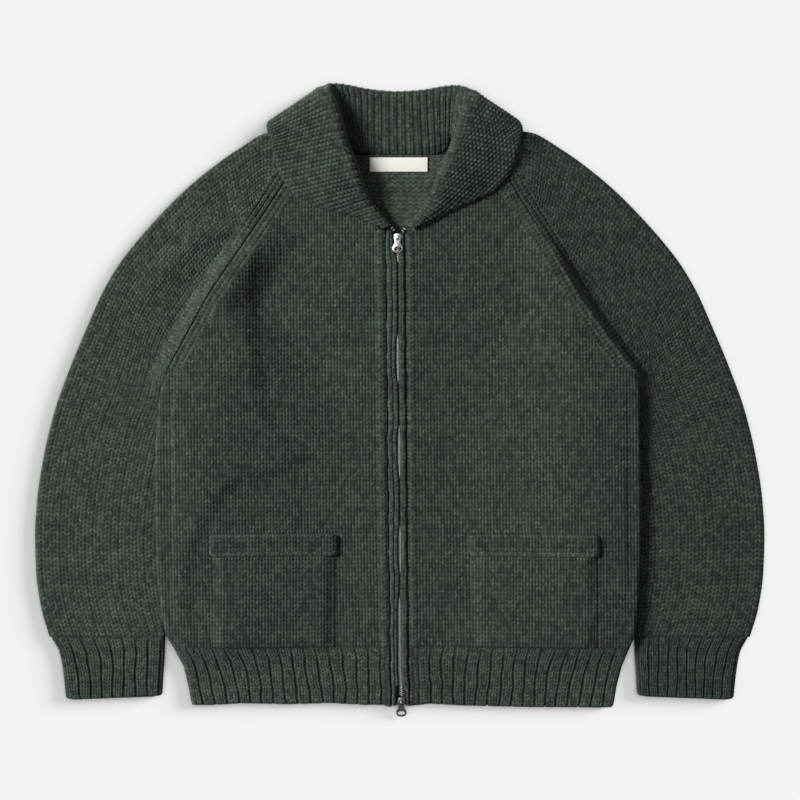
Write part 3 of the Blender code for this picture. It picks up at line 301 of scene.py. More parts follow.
def smooth(edge0, edge1, x):
    """0 before edge0, 1 after edge1, and a soft S between them."""
    t = np.clip((np.asarray(x, float) - edge0) / (edge1 - edge0), 0, 1)
    return t * t * (3 - 2 * t)


def rounded(t):
    """A quarter circle: 0 at 0, steep at first, 1 from 1 on."""
    return np.sqrt(np.clip(1 - (1 - np.clip(t, 0, 1)) ** 2, 0, 1))


def through(xs, ys, at):
    """A smooth curve through table rows that never overshoots them."""
    step = np.diff(xs)
    rate = np.diff(ys) / step
    total = rate[:-1] + rate[1:]
    product = rate[:-1] * rate[1:]
    middle = np.where(product > 0, 2 * product / np.where(np.abs(total) < 1e-12, 1, total), 0)
    slope = np.concatenate([[rate[0]], middle, [rate[-1]]])
    i = np.clip(np.searchsorted(xs, at, side="right") - 1, 0, len(xs) - 2)
    t, h = np.clip((at - xs[i]) / step[i], 0, 1), step[i]
    start = (2 * t**3 - 3 * t**2 + 1) * ys[i] + (t**3 - 2 * t**2 + t) * h * slope[i]
    return start + (3 * t**2 - 2 * t**3) * ys[i + 1] + (t**3 - t**2) * h * slope[i + 1]


def curve(table, number, at):
    """A table's column over its first one, as a smooth curve."""
    return through(*np.array(table, float)[:, [0, number]].T, at)


def linear(table, number, at):
    return np.interp(at, *np.array(table, float)[:, [0, number]].T)


def arc_length(points):
    return np.concatenate([[0], np.cumsum(np.linalg.norm(np.diff(points, axis=0), axis=1))])


def unit(v):
    return v / np.maximum(np.linalg.norm(v, axis=-1, keepdims=True), 1e-9)


def xyz(*parts):
    return np.stack(np.broadcast_arrays(*parts), -1)


def body_edge(y, hand):
    """x of the side edge or the raglan seam at this height."""
    number = 1 if hand < 0 else 2
    return np.where(y <= ARMPIT, curve(BODY_EDGE, number, y), curve(RAGLAN, number, y))


def half_width(x, y):
    return np.where(x < 0, -body_edge(y, -1), body_edge(y, 1))


def zip_x(y):
    return ZIP_TOP_X + (ZIP_BOTTOM_X - ZIP_TOP_X) * (NECK_FRONT - y) / (NECK_FRONT - HEM_BOTTOM)


def band_edge(y, hand):
    """Distance from the zip's centre to the seam between its band and the front."""
    return linear(GROOVES, 1 if hand < 0 else 2, y)


def distance_to(line, x, y):
    """Distance from each point to a polyline."""
    best = np.inf
    for (x0, y0), (x1, y1) in zip(line[:-1], line[1:]):
        dx, dy = x1 - x0, y1 - y0
        t = np.clip(((x - x0) * dx + (y - y0) * dy) / (dx * dx + dy * dy), 0, 1)
        best = np.minimum(best, np.hypot(x - x0 - t * dx, y - y0 - t * dy))
    return best


def side_lift(x, y, on_body):
    """How far the body is lifted where it lies over the sleeves, and the ridge along the raglan seams."""
    inward = (half_width(x, y) - np.abs(x)) * (1 - RAGLAN_SLANT * smooth(ARMPIT - 24, ARMPIT + 12, y))
    droops = EDGE_DIP * (1 - smooth(*EDGE_DIP_FADE, y))
    fade = SIDE_LIFT * (1 - smooth(*RAGLAN_RIDGE, y)) * smooth(*LIFT_START, y)
    if not on_body:
        down = np.clip(-inward / np.where(x < 0, *SLEEVE_RAMPS), 0, 1)
        sleeve = np.where(x < 0, 1 - smooth(0, 1, down), (1 - down) ** SLEEVE_DROP)
        return fade * sleeve * smooth(*SLEEVE_RISES, y) * (1 - droops)
    flat, end = (np.where(x < 0, linear(LIFT_LEFT, k, y), linear(LIFT_RIGHT, k, y)) for k in (1, 2))
    slope = np.clip((inward - flat) / (end - flat), 0, 1)
    from_end = np.minimum(slope, 1 - slope)
    eased = np.where(from_end < LIFT_ROUND, from_end**2 / (2 * LIFT_ROUND), from_end - LIFT_ROUND / 2)
    eased = eased / (1 - LIFT_ROUND)
    droops = droops * (1 - smooth(0, EDGE_DIP_WIDTH, inward))
    return fade * np.where(slope < 0.5, 1 - eased, eased) * (1 - droops)


def neck_lift(x, y):
    """Everything near the neck lies on the part of the collar that is folded underneath."""
    left, right = UNDER_EDGE[0][0], UNDER_EDGE[-1][0]
    under = curve(UNDER_EDGE, 1, np.clip(x, left, right))
    inside = (y > under - 2) & (x > left - 2) & (x < right + 2)
    away = np.where(inside, 0, distance_to(UNDER_EDGE, x, y) - UNDER_MARGIN)
    return (WALL + LAYER_GAP) * (1 - smooth(0, UNDER_RAMP, away))


def upper_fold(x, y):
    """How far the upper layer stands above the lower one: its folds and troughs."""
    rise = FOLD_BASE
    for *line, fold_width, height in FOLDS:
        away = distance_to(list(zip(line[::2], line[1::2])), x, y)
        rise = rise + height * np.exp(-((away / fold_width) ** 2))
    for hand, height, line in STEPS:
        boundary = np.interp(y, *np.array(line[::-1], float).T[::-1])
        away = distance_to(line, x, y) * np.where(hand * (x - boundary) > 0, 1, -1)
        on_body = smooth(*STEP_AT_EDGE, np.abs(body_edge(y, hand)) - np.abs(x)) * (hand * x > 0)
        on_body = on_body * smooth(*STEP_STARTS, y) * (1 - smooth(*STEP_ENDS, y))
        rise = rise + height * smooth(-STEP_WIDTH, STEP_WIDTH, away) * on_body
    low, high, top = COVERED
    under_body = (np.abs(x) > low) & (np.abs(x) < high) & (y < top)
    return np.clip(np.where(under_body, np.minimum(rise, FOLD_BASE), rise), *FOLD_LIMITS)


def lower_z(x, y, on_body=True):
    """Underside of the lower layer."""
    return neck_lift(x, y) + side_lift(x, y, on_body)


def upper_z(x, y, on_body=True):
    """Underside of the upper layer."""
    return lower_z(x, y, on_body) + WALL + LAYER_GAP + upper_fold(x, y)


def front_top(x, y):
    """Upper face of the fronts and the sleeves at any point."""
    return np.where(np.abs(x) < half_width(x, y), upper_z(x, y), upper_z(x, y, False)) + WALL


def edge_thickness(inward):
    """Share of the full thickness near a rounded side edge."""
    return np.maximum(rounded(inward / EDGE_ROUND), EDGE_THIN)


def loops(u, v, roundness, low, fullness):
    """Relief 0..1 of knit: u counts wales, v counts courses, and each stitch is a V of two leaning loops."""
    w = 2 * np.abs(u % 1 - 0.5)
    t = (v - LEAN * w) % 1
    return np.sin(np.pi * w) ** roundness * (low + (1 - low) * (1 - np.abs(2 * t - 1) ** fullness))


def plain(u, v):
    return loops(u, v, *PLAIN_LOOP)


def leg_tone(u, v):
    """A value from 0 to 1 for each loop of yarn, the same over the whole loop: the wool is unevenly dyed."""
    row = np.floor(v - LEAN * 2 * np.abs(u % 1 - 0.5))
    return (np.sin(np.floor(2 * u) * 12.9898 + row * 78.233) * 43758.5453) % 1


def beads(u, v, along=0.6, across=0.8):
    """Rows of round loops, each row set off by half a loop from the next."""
    return np.abs(np.sin(np.pi * u)) ** across * np.abs(np.sin(np.pi * (v + 0.5 * (np.floor(u) % 2)))) ** along


def seed(u, v):
    return beads(u, v, 0.7, 0.7)


def rib(u, v, columns, gap):
    """Relief of a rib of so many stitch columns, and 0..1 where it is raised. gap is its groove's share."""
    f = u % 1
    inside = np.clip((f - gap / 2) / (1 - gap), 0, 1)
    edge = np.minimum(f, 1 - f)
    on_rib = smooth(gap * 0.2, gap * 0.6, edge)
    groove = GROOVE_RELIEF * np.abs(np.sin(np.pi * v))
    stitch = loops(inside * columns, v, *RIB_LOOP) * on_rib + groove * (1 - on_rib)
    return stitch, smooth(gap * 0.15, gap * 0.9, edge)


def outward(points, faces):
    """Turns all faces of a closed mesh round if it is inside out."""
    sizes = np.array([len(f) for f in faces])
    flat = np.fromiter((p for f in faces for p in f), int, sizes.sum())
    starts = np.cumsum(sizes) - sizes
    volume = 0.0
    for k in range(1, sizes.max() - 1):
        first = starts[sizes > k + 1]
        a, b, c = (points[flat[first + i]] for i in (0, k, k + 1))
        volume += (a * np.cross(b, c)).sum()
    return faces if volume > 0 else [f[::-1] for f in faces]


def add_mesh(name, points, faces, finishes, knit=None, top_faces=None, soft=True):
    """knit holds each point's wale, course and relief. The faces after top_faces are underneath."""
    mesh = bpy.data.meshes.new(name)
    mesh.from_pydata((np.asarray(points, float) * 0.001).tolist(), [], faces)
    for finish in finishes:
        mesh.materials.append(finish)
    if knit is not None:
        tone = leg_tone(knit[:, 0], knit[:, 1])
        for key, kind, field, values in (("knit", "FLOAT_VECTOR", "vector", knit), ("tone", "FLOAT", "value", tone)):
            attribute = mesh.attributes.new(key, kind, "POINT")
            attribute.data.foreach_set(field, values.astype(np.float32).reshape(-1))
    if soft:
        mesh.shade_smooth()
    if len(finishes) > 1:
        mesh.polygons.foreach_set("material_index", (np.arange(len(faces)) >= top_faces).astype(np.int32))
    obj = bpy.data.objects.new(name, mesh)
    bpy.context.scene.collection.objects.link(obj)
    return obj


def distinct(number):
    """Quads over a grid of point numbers. Those with repeated corners become triangles, or go."""
    quads = np.stack([number[:-1, :-1], number[:-1, 1:], number[1:, 1:], number[1:, :-1]], -1).reshape(-1, 4)
    count = (quads == np.roll(quads, -1, axis=1)).sum(1)
    folded = quads[count == 1].tolist()
    return quads[count == 0].tolist() + [[c for i, c in enumerate(q) if c != q[(i + 1) % 4]] for q in folded]


def border(fine_points, fine, coarse_points, coarse):
    """Faces between a fine and a coarse line of points that run the same way, given with their numbers."""
    at = [int(np.argmin(((fine_points - p) ** 2).sum(1))) for p in coarse_points]
    at[0], at[-1] = 0, len(fine_points) - 1
    at = np.maximum.accumulate(at)
    faces = []
    for k in range(len(coarse) - 1):
        run = [*fine[at[k] : at[k + 1] + 1].tolist(), int(coarse[k + 1]), int(coarse[k])]
        loop = [p for i, p in enumerate(run) if p != run[i - 1]]
        if len(loop) > 2:
            faces.append(loop)
    return faces


def shell(node, outer, inner, finishes, knit, number=None, ring=False, inner_knit=(0, 0, UNDER_RELIEF), name=None):
    """A closed wall: a fine outer grid with the relief and a coarse inner grid over the same area.

    number gives, for each point of the outer grid, the number of the point that it stands for. A ring's last
    column is its first. inner_knit is one value or a grid of them.
    """
    if number is None:
        number = np.arange(outer[..., 0].size).reshape(outer.shape[:2])
    inner_number = np.arange(inner[..., 0].size).reshape(inner.shape[:2]) + number.size
    if ring:
        number[:, -1], inner_number[:, -1] = number[:, 0], inner_number[:, 0]
    faces = distinct(number)
    top_faces = len(faces)
    faces += [f[::-1] for f in distinct(inner_number)]
    sides = [(np.s_[0], -1), (np.s_[-1], 1)]
    if not ring:
        sides += [(np.s_[:, 0], 1), (np.s_[:, -1], -1)]
    for line, way in sides:
        faces += [f[::way] for f in border(outer[line], number[line], inner[line], inner_number[line])]
    points = np.concatenate([outer.reshape(-1, 3), inner.reshape(-1, 3)])
    hidden = np.broadcast_to(np.asarray(inner_knit, float), (*inner.shape[:2], 3))
    values = np.concatenate([knit.reshape(-1, 3), hidden.reshape(-1, 3)])
    faces = outward(points, faces)
    sizes = np.array([len(f) for f in faces])
    used, flat = np.unique(np.fromiter((p for f in faces for p in f), int, sizes.sum()), return_inverse=True)
    flat = flat.tolist()
    faces = [flat[end - size : end] for end, size in zip(np.cumsum(sizes).tolist(), sizes.tolist())]
    piece = add_mesh(name or node + "_cloth", points[used], faces, finishes, values[used], top_faces)
    return dress(piece, node)


def dress(piece, node, body="garment"):
    """The piece stands for its CAD node, rides on its body and gets the material slot of its kind."""
    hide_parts(node)
    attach(piece, body)
    kind = node if node in SHEETS else node.rsplit("_", 1)[0]
    slot, flat, area, rests_on = SHEETS.get(kind, ("metal", None, None, []))
    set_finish(piece, slot)
    return piece


def edge_drop(inward, depth=1.4, width=2.4):
    """The cut edges turn down into the seams."""
    return -depth * (1 - smooth(0, width, inward))


def hem_wave(x, y):
    """How far the hem is pulled up at a place."""
    return linear(HEM_WAVE, 1, x) * (1 - smooth(0, 26.0, y - HEM_BOTTOM))


def wobble(y, hand):
    """The seam beside each zip band pulls a little to and fro."""
    y = y + 31 * hand
    return 0.45 * np.sin(y / 7.3) + 0.35 * np.sin(y / 3.1 + 1.0) + 0.35 * np.sin(y / 19.0)


def front_start(y, hand):
    """Distance from the middle at which the wales of a front start beside the zip."""
    return band_edge(y, hand) + SEAM / 2 + hand * zip_x(y)


def front_edges(y, hand):
    """Distances from the middle of the zip edge and of the side edge of a front."""
    at_zip = front_start(y, hand) + wobble(y, hand)
    at_neck = np.maximum(curve(NECK_EDGE, 1, y), at_zip)
    return np.where(y <= NECK_FRONT, at_zip, at_neck), np.abs(body_edge(y, hand)) - SEAM / 2


def panel_thickness(inward, y):
    """Share of the full thickness of a body panel: its side edges are rounded up to the armpit."""
    share = edge_thickness(inward)
    return share + (1 - share) * smooth(ARMPIT - 8, ARMPIT, y)


def knit_relief(x, y, hand, field):
    """Rise in millimetres and relief of the plain field with fashioning columns along the raglan seam."""
    away = distance_to([(row[1 if hand < 0 else 2], row[0]) for row in RAGLAN], x, y)
    share = (1 - smooth(BORDER_WIDTH - 1.2, BORDER_WIDTH, away)) * smooth(ARMPIT - 4, ARMPIT + 10, y)
    u, along = away / BORDER_WALE, RAGLAN_SLOPE[0] * np.abs(x) + RAGLAN_SLOPE[1] * y
    height = field * (1 - share) + plain(u, along / COURSE) * share
    return STITCH_RISE * (height - LEVEL) + SMALL_RISE * share * (np.sin(np.pi * (u % 1)) - 0.5), height


def rib_sway(u, along, ribs):
    """How far, in ribs, the ribs of a hem or cuff sway from their straight lines; none at its two ends."""
    sway = 0.07 * np.sin(along / 17.0 + 0.8 * u) + 0.035 * np.sin(along / 7.0 - 1.9 * u)
    return sway * smooth(0, 1.5, u) * (1 - smooth(ribs - 1.5, ribs, u))


def rib_relief(u, v, from_top, in_seed=False):
    """Rise in millimetres of the ribs of a hem or cuff, 0..1 where they are raised, and the knit values."""
    stitch, raised = rib(u, v, 2, RIB_GAP)
    stitch, raised = np.where(in_seed, seed(u * 2, v), stitch), np.where(in_seed, 0.6, raised)
    grown = smooth(*RIBS_GROW, from_top)
    height = stitch * (1 - grown * (1 - raised) * 0.5)
    rise = STITCH_RISE * (height - LEVEL) + RIB_RISE * (raised - 0.6) * (0.15 + 0.85 * grown)
    # The knit value's relief is darkened further in the grooves between the ribs: painted shade.
    return rise, raised, xyz(u * 2, v, height * (0.62 + 0.38 * raised))


def joined(number, before, beyond):
    """A grid's point numbers, where columns before and beyond the ends of a row stand for its end points."""
    cols = number.shape[1]
    first, last = np.maximum(before.sum(1) - 1, 0), np.minimum(cols - beyond.sum(1), cols - 1)
    return np.take_along_axis(number, np.clip(np.arange(cols), first[:, None], last[:, None]), 1)


def spaced(count, number):
    return np.linspace(0, count - 1, number).astype(int)


def with_rims(count, rim, between):
    """Every column near both ends of a row, and only some between them."""
    return np.unique(np.concatenate([np.arange(rim), between, np.arange(count - rim, count)]).astype(int))


def make_front(hand, node, finishes):
    y = np.arange(HEM_TOP, SHOULDER + 0.1, ALONG)[:, None]
    near, side = front_edges(y, hand)
    start = front_start(np.minimum(y, NECK_FRONT), hand)
    free = start + np.arange(0, (side - start).max() + ACROSS, ACROSS)
    merge = joined(np.arange(free.size).reshape(free.shape), free < near, free > side)
    across = np.clip(free, near, side)
    x, inward, steps = hand * across, side - across, across - start
    starts, ends = ZIP_COLUMN_EDGES
    beside_zip = smooth(*starts, steps) * (1 - smooth(*ends, steps)) * (y < NECK_FRONT)
    zip_place = (steps - ZIP_COLUMN) / ZIP_COLUMN_WIDTH
    field = plain(steps / WALE, y / COURSE) * (1 - beside_zip) + plain(zip_place, y / COURSE) * beside_zip
    rise, height = knit_relief(x, y, hand, field)
    rise = rise + SMALL_RISE * beside_zip * np.sin(np.pi * np.clip(zip_place, 0, 1))
    thick = panel_thickness(inward, y)
    top = upper_z(x, y) + WALL * thick + rise * np.clip(thick, 0.3, 1)
    top = top + edge_drop(across - near, 1.1) + edge_drop(inward, 0.6) * smooth(*SEAM_FADE, y)
    pick = spaced(len(y), 1 + len(y) // KNIT_INNER_STEP)
    inner_across, inner_y = near[pick] + (side - near)[pick] * np.linspace(0, 1, 18), y[pick]
    inner = xyz(hand * inner_across, inner_y, upper_z(hand * inner_across, inner_y))
    under = xyz(inner_across / WALE, inner_y / COURSE, UNDER_RELIEF)
    knit = xyz(steps / WALE, y / COURSE, height)
    return shell(node, xyz(x, y, top), inner, finishes, knit, merge, inner_knit=under)


def make_hem_front(hand, node, finishes):
    ribs = HEM_RIBS[hand]
    y = np.arange(HEM_TOP - SEAM, HEM_BOTTOM - 0.1, -RIB_ALONG)[:, None]
    y[-1] = HEM_BOTTOM
    near, side = front_edges(y, hand)
    place = np.linspace(0, 1, ribs * HEM_RIB_COLUMNS + 1)
    seed_steps = np.linspace(0, SEED_WIDTH, 12)[:-1]
    across = np.concatenate([near + seed_steps, near + SEED_WIDTH + (side - near - SEED_WIDTH) * place], 1)
    u = np.concatenate([seed_steps / SEED_WIDTH - 1, place * ribs])
    u = u + rib_sway(u, y, ribs)
    rise, raised, knit = rib_relief(u, y / RIB_COURSE, HEM_TOP - y, u < 0)
    x, up = hand * across, y - HEM_BOTTOM
    share = edge_thickness(side - across) * (1 - 0.6 * (1 - smooth(0, 3.0, up)))
    top = upper_z(x, y) + (WALL + rise) * share + edge_drop(across - near) + edge_drop(HEM_TOP - y, 0.5)
    scallop = 1.5 * (1 - raised) * (1 - smooth(0, 5.0, up))
    outer = xyz(x, y + scallop + hem_wave(x, y), top)
    inner = outer[np.ix_(spaced(len(y), 4), spaced(across.shape[1], 25))]
    inner[..., 2] = upper_z(inner[..., 0], inner[..., 1])
    return shell(node, outer, inner, finishes, knit)


def back_edges(y):
    return body_edge(y, -1) + SEAM / 2, body_edge(y, 1) - SEAM / 2


def make_back(node, finishes):
    """Its inner face shows in the neck, where the purl side's ridges are modelled."""
    shown, low = BACK_FINE
    coarse_rows, rim = 35, BACK_RIM[-1]
    y = np.linspace(HEM_TOP, low, coarse_rows + 1)[:-1]
    y = np.concatenate([y, np.arange(low, SHOULDER + 0.1, ALONG)])[:, None]
    left, right = back_edges(y)
    beside_left = left + rim + (-shown - left - rim) * np.array([0.34, 0.67])
    beside_right = shown + (right - rim - shown) * np.array([0.33, 0.66])
    middle = np.linspace(-shown, shown, 1 + int(2 * shown / ACROSS)) + 0 * y
    x = np.sort(np.concatenate([left + BACK_RIM, beside_left, middle, beside_right, right - BACK_RIM], 1), 1)
    u, v = x / WALE, y / COURSE
    fine = smooth(low, low + 4, y) * (1 - smooth(shown - 6, shown, np.abs(x)))
    purl = np.abs(np.sin(np.pi * (v + 0.18 * np.sin(2 * np.pi * u)))) ** 0.7
    top = lower_z(x, y) + WALL
    under = top - WALL * panel_thickness(np.minimum(x - left, right - x), y)
    rows, cols, ends = len(y), x.shape[1], len(BACK_RIM) + 2
    pick_rows = np.append(np.arange(coarse_rows + 1), np.linspace(coarse_rows + 1, rows - 1, 7)).astype(int)
    pick = np.ix_(np.unique(pick_rows), with_rims(cols, ends, np.linspace(ends, cols - 1 - ends, 7)))
    outer, knit = xyz(x, y, top + fine * (purl - 0.6)), xyz(u, v, purl * fine + 0.6 * (1 - fine))
    return shell(node, outer, xyz(x, y, under)[pick], finishes, knit, inner_knit=xyz(u, v, UNDER_RELIEF)[pick])


def make_hem_back(node, finishes):
    ribs = sum(HEM_RIBS.values())
    y = np.append(np.arange(HEM_TOP - SEAM, HEM_BOTTOM + 4, -8.0), [HEM_BOTTOM + 2.5, HEM_BOTTOM])[:, None]
    left, right = back_edges(y)
    place = np.linspace(0, 1, ribs * 8 + 1)
    x = left + (right - left) * place
    over, waved = lower_z(x, y) + WALL, y + np.maximum(hem_wave(x, y), 0)
    thick = WALL * edge_thickness(np.minimum(x - left, right - x)) * np.where(y < HEM_BOTTOM + 1, 0.4, 1.0)
    pick = np.ix_(np.arange(len(y)), with_rims(x.shape[1], 7, np.arange(8, x.shape[1] - 8, 8)))
    u, v = place * ribs * 2, y / COURSE
    inner, under = xyz(x, waved, over - thick)[pick], xyz(u, v, UNDER_RELIEF)[pick]
    return shell(node, xyz(x, waved, over), inner, finishes, xyz(u, v, 0.6), inner_knit=under)


def grid_normals(points):
    return unit(np.cross(np.gradient(points, axis=1), np.gradient(points, axis=0)))


def layers(plan):
    """Undersides of the lower and the upper layer of a sleeve."""
    x, y = plan[..., 0], plan[..., 1]
    return lower_z(x, y, False), upper_z(x, y, False)


def tube(node, start, end, top_steps, relief, tubular, finishes, wale=WALE):
    """A closed sleeve or cuff: rows of sections from their outer fold over the top to the inner end and back.

    start and end are the inner and outer ends of each row in plan. top_steps are distances from the outer end,
    relief gives the rise and the knit values there, and tubular is 1 where the inner end is rounded too.
    """
    width = np.linalg.norm(end - start, axis=1, keepdims=True)
    toward, end = unit(start - end)[:, None], end[:, None]
    steps, under_steps = np.minimum(top_steps, width), width * (1 - UNDER_SHARES)
    rows, top_cols = steps.shape
    across = np.concatenate([steps, under_steps], 1)
    plan = end + across[..., None] * toward
    low, high = layers(plan)
    middle = (low + WALL + high) / 2
    to_end = np.minimum(across, width - across + 40 * (1 - tubular))
    face = np.where(np.arange(across.shape[1]) < top_cols, high + WALL, low)
    outer = np.concatenate([plan, (middle + (face - middle) * rounded(to_end / EDGE_ROUND))[..., None]], -1)
    rise, knit = relief(plan[:, :top_cols], steps, width)
    normal = grid_normals(outer[:, :top_cols])
    rise = rise * (0.25 + 0.75 * smooth(0.0, 1.2, to_end[:, :top_cols])) * np.where(normal[..., 2] < 0, -1, 1)
    outer[:, :top_cols] += normal * rise[..., None]
    outer[..., 2] = np.maximum(outer[..., 2], 0)
    number = np.arange(across.size).reshape(across.shape)
    number[:, :top_cols] = joined(number[:, :top_cols], steps < 0, top_steps > width)
    pick = np.unique(spaced(rows, 2 + rows // KNIT_INNER_STEP))
    squeeze = WALL * 0.9
    reach = width[pick] - np.where(tubular[pick] > 0.5, squeeze, 0.6) - squeeze
    inside = squeeze + reach * np.concatenate([INSIDE_SHARES, INSIDE_SHARES[::-1]])
    inner_plan = end[pick] + inside[..., None] * toward[pick]
    low, high = layers(inner_plan)
    upper_part = np.arange(inside.shape[1]) < len(INSIDE_SHARES)
    inner_z = np.where(upper_part, high - np.minimum(2.4, 0.4 * (high - low - WALL)), low + WALL)
    inner_z[:, 0] = inner_z[:, -1] = (low + WALL + high)[:, 0] / 2
    inner = np.concatenate([inner_plan, inner_z[..., None]], -1)
    under = xyz((width - under_steps) / wale, knit[:, :1, 1], UNDER_RELIEF)
    return shell(node, outer, inner, finishes, np.concatenate([knit, under], 1), number, ring=True)


def make_sleeve(hand, node, finishes):
    table = np.array(SLEEVE, float)
    along = arc_length(table[:, :2])
    at = np.arange(0, along[-1], ALONG)
    outer_x, outer_y, y = (through(along, table[:, k], at) for k in range(3))
    covered, seam = curve(UNDERARM_EDGE, 1 if hand < 0 else 2, y), body_edge(y, hand)
    under = covered + (seam + hand * TUCK_GAP - covered) * smooth(*TUCK, y)
    under = under - hand * TUCKED_IN * (1 - smooth(26, ARMPIT, y)) * smooth(-46, -26, y)
    seam = np.where(y < ARMPIT, under, seam + hand * SEAM / 2)
    to_neck = smooth(along[-2], along[-1], at)
    start = xyz(seam * (1 - to_neck) + hand * SLEEVE_NECK * to_neck, y)
    end = xyz(hand * outer_x, outer_y)
    top_steps = np.arange(ACROSS, np.linalg.norm(end - start, axis=1).max() + ACROSS, ACROSS)
    at = at[:, None]

    def relief(plan, steps, width):
        x, y = plan[..., 0], plan[..., 1]
        u, v = steps / SLEEVE_WALE, at / SLEEVE_COURSE
        rise, height = knit_relief(x, y, hand, plain(u, v))
        drop = edge_drop(width - steps, 0.6) * smooth(*SEAM_FADE, y) + edge_drop(at, 0.5)
        return rise * SLEEVE_RELIEF + drop, xyz(u, v, height)

    tubular = 1 - smooth(ARMPIT - 8, ARMPIT + 8, start[:, 1:])
    return tube(node, start, end, np.concatenate([[0, 0.4], top_steps]), relief, tubular, finishes, SLEEVE_WALE)


def make_cuff(hand, node, finishes):
    ribs = CUFF_RIBS[hand]
    table = np.array(CUFF, float)
    along = arc_length(table[:, :2])
    at = np.append(np.arange(0, along[-1] - 0.5, RIB_ALONG), along[-1])
    outer_x, outer_y, inner_x, inner_y = (through(along, table[:, k], at) for k in range(4))
    start, end = xyz(hand * inner_x, inner_y), xyz(hand * outer_x, outer_y)
    at = at[:, None]
    from_end = at[-1] - at
    shrink = unit(end - start) * CUFF_CORNER * (1 - rounded(from_end / CUFF_CORNER))
    start, end = start + shrink, end - shrink
    width = np.linalg.norm(end - start, axis=1, keepdims=True)
    rim, flat_end = np.array([0, 0.8, 2.2]), 4.0
    ribbed = flat_end + (width - 2 * flat_end) * np.linspace(0, 1, ribs * CUFF_RIB_COLUMNS + 1)
    top_steps = np.concatenate([rim + 0 * width, ribbed, width - rim[::-1]], 1)

    def relief(plan, steps, width):
        u = (steps - flat_end) / (width - 2 * flat_end) * ribs
        rise, _, knit = rib_relief(u + rib_sway(u, at, ribs), at / RIB_COURSE, at)
        return rise + edge_drop(at, 0.5) + edge_drop(from_end, 1.2, 3.0), knit

    return tube(node, start, end, top_steps, relief, np.ones(at.shape), finishes)


class Collar:
    """The collar's sections as columns of numbers, with a row for each row of its points."""

    def __init__(self):
        table = np.array(COLLAR, float)
        lines = (table[:, 0:2] + table[:, 4:6]) / 2, table[:, 0:2]
        along = sum(0.5 * length / length[-1] for length in map(arc_length, lines))
        at = np.linspace(0, 1, COLLAR_RIB_ROWS * COLLAR_RIBS + 1)
        rows = np.stack([through(along, numbers, at) for numbers in table.T], -1)
        self.roll, seam, edge = rows[:, 0:2], rows[:, 2:4], rows[:, 4:6]
        self.turn, self.puff = np.radians(rows[:, 6:7]), rows[:, 7:8]
        self.on_top = (1 + np.sin(self.turn)) / 2
        self.hand = np.where(np.arange(len(at)) < len(at) // 2, -1, 1)[:, None, None]
        self.thick = WALL * (0.6 + 0.4 * smooth(0, 0.12, np.minimum(at, 1 - at)))[:, None]
        # -1 is the stand, 1 the fall
        self.toward = {-1: unit(seam - self.roll), 1: unit(edge - self.roll)}
        self.width = {k: np.linalg.norm(to - self.roll, axis=1)[:, None] for k, to in ((-1, seam), (1, edge))}
        seats = [front_top(*(seam + (self.roll - seam) * share).T) for share in COLLAR_SEAT_SHARES]
        self.seat = np.max(seats, axis=0)[:, None] + CLEAR
        self.edge_seat = front_top(*edge.T)[:, None] + CLEAR - ROLL_AIR

    def place(self, distance, side, hidden):
        """Points at these distances from the roll, rows by columns, on the shown or the hidden face."""
        mix = smooth(*ROLL_BLEND, distance)[..., None]
        mean = unit(self.toward[-1] + self.toward[1])[:, None]
        direction = unit(mean * (1 - mix) + self.toward[side][:, None] * mix)
        flat = self.roll[:, None] + direction * distance[..., None]
        aside = np.stack([-direction[..., 1], direction[..., 0]], -1) * self.hand
        closing = smooth(*PUFF_ENDS, distance)
        half = self.thick + ROLL_AIR + self.puff * (1 - closing)
        round_share = rounded(distance / (ROLL_RADIUS * np.minimum(1, self.width[side] / FALL_ROOM)))
        height = side * round_share * (np.maximum(half - self.thick, ROLL_AIR) if hidden else half)
        top = self.seat + self.thick + ROLL_AIR + self.puff
        if side > 0:
            beyond = smooth(self.width[-1] * 0.9, self.width[1], distance)
            top = top * (1 - beyond) + self.edge_seat * beyond
            top = np.maximum(top, front_top(flat[..., 0], flat[..., 1]) + CLEAR - ROLL_AIR)
        else:
            top = top - self.puff * closing
        z = half * (1 - self.on_top) + top * self.on_top + np.sin(self.turn) * height
        return np.concatenate([flat + aside * (np.cos(self.turn) * height)[..., None], z[..., None]], -1)


